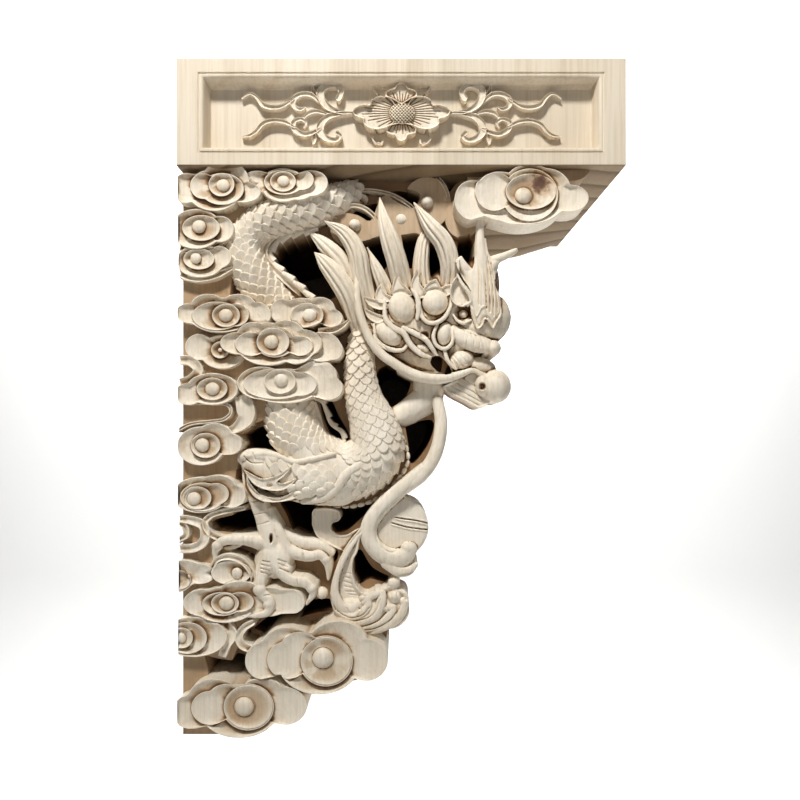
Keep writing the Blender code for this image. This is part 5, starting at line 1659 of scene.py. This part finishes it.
SCROLLS = [
    [(500, 206, 8, 5), (450, 203, 7, 9), (402, 182, 6.6, 13), (378, 150, 6.4, 15), (376, 116, 6.4, 15),
     (400, 97, 6.4, 13), (436, 98, 6.4, 11), (454, 122, 6.6, 11), (444, 148, 6.4, 13)],
    [(500, 209, 8.4, 5), (450, 209, 7.4, 9), (402, 222, 7, 13), (376, 250, 6.8, 15), (374, 282, 6.8, 15),
     (398, 306, 6.8, 13), (430, 312, 6.8, 11), (450, 298, 7, 9), (440, 284, 6.8, 9)],
    [(402, 212, 8.6, 5), (360, 200, 7.8, 9), (328, 206, 7.4, 9), (306, 230, 8.6, 4)],
    [(366, 160, 8, 6), (334, 134, 7.2, 10), (296, 133, 7, 11), (268, 152, 7, 12), (270, 180, 7.2, 10),
     (296, 192, 7.6, 8), (312, 184, 8.6, 4)],
    [(372, 268, 8, 6), (340, 284, 7.4, 10), (302, 288, 7.2, 11), (270, 268, 7.2, 12), (270, 240, 7.2, 10),
     (296, 230, 7.4, 8), (316, 244, 7.4, 7), (308, 264, 8.6, 4)],
    [(268, 152, 8, 5), (226, 178, 7.2, 9), (184, 184, 7, 11), (146, 174, 7, 10), (122, 144, 7.4, 8),
     (96, 130, 8, 6), (64, 151, 9, 3)],
    [(272, 262, 8, 5), (228, 240, 7.2, 9), (182, 236, 7, 9), (146, 250, 7, 9), (124, 276, 7.4, 8),
     (98, 294, 8, 7), (66, 300, 9, 3)],
    [(362, 160, 9, 5), (346, 122, 8, 9), (338, 88, 9.4, 2)],
    [(350, 290, 9, 6), (348, 308, 8, 11), (346, 326, 9, 6)],
    [(602, 136, 10, 4), (580, 112, 9, 4), (588, 92, 9, 4), (610, 90, 9, 5), (616, 106, 10, 4)],
    [(592, 270, 10, 4), (576, 300, 9, 4), (590, 324, 9, 4), (612, 325, 9, 5), (618, 310, 10, 4)]]
for stops in SCROLLS:
    for mirror in (False, True):
        lay_channel(panel, mirrored(stops, mirror))

# %% Carve the petals and the boss
SIDE_PETAL = [(702, 206), (694, 176), (672, 158), (650, 146), (622, 139), (592, 143), (572, 156), (566, 174),
    (545, 172), (518, 180), (499, 197), (503, 214), (524, 226), (541, 230), (540, 246), (556, 262),
    (584, 271), (618, 268), (648, 256), (674, 250), (694, 238)]
TOP_PETAL = [(676, 206), (652, 160), (630, 142), (630, 122), (648, 112), (664, 108), (672, 92), (690, 86),
    (708, 92), (716, 108), (732, 112), (750, 122), (750, 142), (728, 160), (704, 206)]
LOW_PETAL = [(676, 210), (654, 246), (634, 262), (632, 282), (650, 291), (664, 294), (672, 310), (690, 318),
    (708, 310), (716, 294), (730, 291), (748, 282), (746, 262), (726, 246), (704, 210)]
for outline in (TOP_PETAL, LOW_PETAL):
    lay_leaf(panel, outline, 4.6, 0.95, 3.0, 0.0, 3.0)
for mirror in (False, True):
    lay_leaf(panel, mirrored(SIDE_PETAL, mirror), 3.6, 0.95, 3.6, 0.0, 3.0)
PETAL_RIBS = 40
for number in range(PETAL_RIBS):
    turn = 2 * math.pi * (number + 0.5) / PETAL_RIBS
    reach = 1.0 + 0.80 * abs(math.cos(turn)) ** 3
    outer = 0.70 + 0.10 * (number % 2)
    line = [(690 + 46 * math.cos(turn), 206 + 40 * math.sin(turn)),
            (690 + 106 * outer * reach * math.cos(turn), 206 + 104 * outer * math.sin(turn))]
    cut_line(panel, line, 0.5, 1.1)
BOSS = (692.601, 208.9542, 50.869, 42.2604, 1.2, 6.0, 0.0, 0.0)
HATCH_GAP = 3.4
HATCH_REACH = 9.0
lay_egg(panel, *BOSS)
(boss_x, boss_y), = close(panel, [BOSS[:2]])
on_boss = ((panel["x"] - boss_x) / 12.4) ** 2 + ((panel["y"] - boss_y) / 10.2) ** 2 < 1
for lean in (-1, 1):
    for number in range(-4, 5):
        ends = [(boss_x + number * HATCH_GAP + side * HATCH_REACH, boss_y + side * HATCH_REACH * lean, 0.0,
                 1.0)
                for side in (-1, 1)]
        distance, _ = near_route(panel, ends)
        panel["depth"] = panel["depth"] + np.where(on_boss, 1.5 * np.exp(-(distance / 0.55) ** 2), 0)
panel_piece = map_piece("panel_flower", panel, 12.2, 15.0)
print("flower and scroll faces:", len(panel_piece.data.polygons))

# %% [markdown]
# ## The back
#
# The back is plainer: low clouds, each a round plate with a rim and a dished face, stand on the
# flat ground.

# %% Make the clouds of the back
BACK_CLOUDS = [(62, -60, 44, 28), (178, -66, 52, 30), (96, -176, 54, 32), (150, -270, 42, 26),
    (62, -360, 44, 28), (124, -440, 38, 24)]
BACK_STEPS = [(1.0, 14.0), (1.0, 3.0), (0.98, 2.2), (0.95, 2.0), (0.91, 2.4), (0.85, 3.6), (0.72, 4.4),
    (0.62, 4.2), (0.6, 2.6), (0.58, 2.2), (0.55, 2.6), (0.48, 4.0), (0.36, 4.8), (0.26, 4.6), (0.22, 3.2),
    (0.15, 2.3), (0.06, 2.0)]
BACK_AROUND = 72
angles = 2 * np.pi * np.arange(BACK_AROUND) / BACK_AROUND
skins = []
for x, z, half_w, half_h in BACK_CLOUDS:
    lobes = [(x, z, half_w, half_h), (x - half_w * 0.5, z, half_w * 0.48, half_h * 0.7),
             (x + half_w * 0.5, z - half_h * 0.1, half_w * 0.46, half_h * 0.74)]
    reach = lobe_reach(angles, (x, z), lobes)
    rows = []
    for share, depth in BACK_STEPS:
        rows.append(np.stack([(x + reach * share * np.cos(angles)) * MM,
                              np.full(BACK_AROUND, BACK - depth * MM),
                              UNDERSIDE + (z + reach * share * np.sin(angles)) * MM], axis=-1))
    skins.append(closed_skin(inside_box(np.array(rows))))
back_clouds = add_piece("back_clouds", *join_skins(skins), wood)
print("back cloud faces:", len(back_clouds.data.polygons))

# %% [markdown]
# ## Light and background
#
# A plain pale floor sweeps up behind the bracket. A small key light hangs high in front, so the
# undersides of the rims stay dark. A weak wide one fills the shadows, one lights only the wall, and
# a faint pale world fills the rest.

# %% Make the floor and the lights
FLOOR_DROP = 0.9
FLOOR_SIDES = (-3.4, 3.8)
FLOOR_NEAR = -2.2
FLOOR_FAR = 1.0
BEND = 0.6
WALL_HEIGHT = 4.0
MIDDLE = (0.19, FRONT, 0.0)
LIGHTS = [
    ("key", (-0.05, -0.84, 1.14), MIDDLE, 0.24, 0.2, 21.0, (1.0, 0.985, 0.96)),
    ("fill", (0.3, -1.7, 0.1), MIDDLE, 0.9, 0.9, 2.4, (0.97, 0.98, 1.0)),
    ("wall", (0.2, 0.5, 1.9), (0.2, 1.6, -0.2), 2.4, 0.6, 118.0, (1.0, 1.0, 1.0))]
ROOM_TINT = (0.95, 0.97, 1.0, 1.0)
ROOM_STRENGTH = 0.04


def sweep():
    """A floor that curves up into a back wall."""
    floor_z = low[2] - FLOOR_DROP
    profile = [(FLOOR_NEAR, floor_z), (FLOOR_FAR, floor_z)]
    profile += [(FLOOR_FAR + BEND * math.sin(a), floor_z + BEND * (1 - math.cos(a)))
                for a in np.linspace(0.1, math.pi / 2, 14)]
    profile += [(FLOOR_FAR + BEND, floor_z + WALL_HEIGHT)]
    points = [(x, y, z) for x in FLOOR_SIDES for y, z in profile]
    count = len(profile)
    floor = mesh_object("floor", points, [(i, i + 1, i + 1 + count, i + count) for i in range(count - 1)])
    floor.data.shade_smooth()
    paint = bpy.data.materials.new("floor_paint")
    paint.use_nodes = True
    shader = paint.node_tree.nodes["Principled BSDF"]
    shader.inputs["Base Color"].default_value = (0.9, 0.9, 0.89, 1.0)
    shader.inputs["Roughness"].default_value = 0.9
    floor.data.materials.append(paint)
    return floor


sweep()


def area_light(name, place, target, width, height, power, colour):
    """A soft lamp at a place, turned to a target; its power is in watts."""
    data = bpy.data.lights.new(name, "AREA")
    data.shape = "RECTANGLE"
    data.size = width
    data.size_y = height
    data.energy = power
    data.color = colour
    lamp = bpy.data.objects.new(name, data)
    lamp.location = place
    lamp.rotation_euler = (Vector(target) - Vector(place)).to_track_quat("-Z", "Y").to_euler()
    bpy.context.scene.collection.objects.link(lamp)


for light in LIGHTS:
    area_light(*light)
world = bpy.data.worlds.new("room")
world.use_nodes = True
world.node_tree.nodes["Background"].inputs["Color"].default_value = ROOM_TINT
world.node_tree.nodes["Background"].inputs["Strength"].default_value = ROOM_STRENGTH
bpy.context.scene.world = world
bpy.context.scene.view_settings.view_transform = "Standard"
print("lights:", len(LIGHTS))

# %% [markdown]
# ## Crevices
#
# Painted shade darkens a carving's crevices, and a painted highlight lightens its edges. Each point
# is compared with its surroundings twice: with its neighbours in the mesh, and with the front's
# own relief, softened over small, middling and wide stretches. Below them means a crevice.

# %% Measure how sunk each point is
CREVICE_STEPS = 8
CREVICE_DEPTH = 0.0012
CELL = 0.5
OPEN_DEPTH = 34.0
PANEL_FLOOR = 13.0
CARVED_DEPTH = 90.0
SURROUNDINGS = [(2, 0.7, 0.36), (7, 2.0, 0.36), (24, 6.0, 0.28)]
GROUND_SHADE_BY_DEPTH = [(14.0, 0.24), (22.0, 0.33), (30.0, 0.13), (60.0, 0.5)]
PLAIN = 0.46


def corners_of(piece):
    """The places of a mesh's points, as an array."""
    places = np.empty(len(piece.data.vertices) * 3, np.float32)
    piece.data.vertices.foreach_get("co", places)
    return places.reshape(-1, 3).astype(np.float64)


def cells_of(places):
    """Depths in millimetres, and the rows and columns where the places show in the front's relief."""
    last = int(IMAGE_PIXELS / CELL) - 1
    columns, rows = (np.clip(at / CELL, 0, last).astype(int) for at in pixel_of(places))
    return (places[:, 1] - FRONT) / MM, rows, columns


def soften(relief, reach):
    """The mean over a square of cells, taken twice."""
    width = 2 * reach + 1
    for axis in (0, 1, 0, 1):
        pads = [(reach + 1, reach) if axis == side else (0, 0) for side in (0, 1)]
        total = np.cumsum(np.pad(relief, pads, mode="edge"), axis=axis)
        relief = (total[width:] - total[:-width] if axis == 0
                  else total[:, width:] - total[:, :-width]) / width
    return relief


def front_relief():
    """The nearest depth in each cell of the front view."""
    count = int(IMAGE_PIXELS / CELL)
    relief = np.full((count, count), NOWHERE)
    for piece in pieces:
        if piece not in (beam, ground):
            depths, rows, columns = cells_of(corners_of(piece))
            np.minimum.at(relief, (rows, columns), depths)
    for _ in range(4):
        padded = np.pad(relief, 1, constant_values=NOWHERE)
        near = np.minimum.reduce([padded[:-2, 1:-1], padded[2:, 1:-1], padded[1:-1, :-2], padded[1:-1, 2:]])
        relief = np.where(relief == NOWHERE, near, relief)
    above = slice(0, int(UNDERSIDE_PIXEL / CELL))
    relief[above] = np.minimum(relief[above], PANEL_FLOOR)
    return relief


def mark_crevices(piece, relief, softened):
    """Store on each point how sunk or proud it is: 0 in a crevice, PLAIN where flat, 1 on an edge."""
    mesh = piece.data
    count = len(mesh.vertices)
    places = corners_of(piece)
    normals = np.empty(count * 3, np.float32)
    mesh.vertex_normals.foreach_get("vector", normals)
    normals = normals.reshape(-1, 3)
    edges = np.empty(len(mesh.edges) * 2, np.int32)
    mesh.edges.foreach_get("vertices", edges)
    first, second = edges.reshape(-1, 2).T
    links = np.bincount(first, minlength=count) + np.bincount(second, minlength=count)
    soft = places.copy()
    for _ in range(CREVICE_STEPS):
        total = np.zeros_like(soft)
        for axis in range(3):
            total[:, axis] = (np.bincount(first, soft[second, axis], count)
                              + np.bincount(second, soft[first, axis], count))
        soft = 0.5 * soft + 0.5 * total / np.maximum(links, 1)[:, None]
    proud = np.einsum("ij,ij->i", places - soft, normals)
    depths, rows, columns = cells_of(places)
    sunk = np.zeros(count)
    for (_, deep, weight), level in zip(SURROUNDINGS, softened):
        sunk += weight * np.clip((depths - level[rows, columns]) / deep, -0.8, 1.4)
    shown = np.where(depths < CARVED_DEPTH, np.clip(1.5 - (depths - relief[rows, columns]) / 8.0, 0, 1), 0)
    # Low values give painted shade in sunk places, high ones a painted highlight on proud edges.
    values = PLAIN + 0.30 * np.clip(proud / CREVICE_DEPTH, -1, 1) - 0.62 * sunk * shown
    # The ground's values come from its depth alone: painted shade, darkest at the 30 mm ground.
    if piece == ground:
        values = np.interp(depths, *zip(*GROUND_SHADE_BY_DEPTH))
    if piece == panel_piece:
        values = 0.5 + 0.9 * (values - 0.44)
    if piece.name.startswith("scales"):
        values = 0.43 + 1.35 * (values - PLAIN)
    values = np.clip(values, 0, 1).astype(np.float32)
    mesh.attributes.new("crevice", "FLOAT", "POINT").data.foreach_set("value", values)


relief = front_relief()
softened = [soften(np.minimum(relief, OPEN_DEPTH), reach) for reach, _, _ in SURROUNDINGS]
for piece in pieces:
    mark_crevices(piece, relief, softened)
print("marked", len(pieces), "pieces")

# %% [markdown]
# ## Hide the solid and attach the pieces
#
# The solid from the model is hidden, and every piece is attached to the root body.

# %% Finish
for piece in pieces:
    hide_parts("bracket")
    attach(piece, "root")
print("pieces:", len(pieces), "triangles:", sum(len(f.vertices) - 2 for p in pieces for f in p.data.polygons))
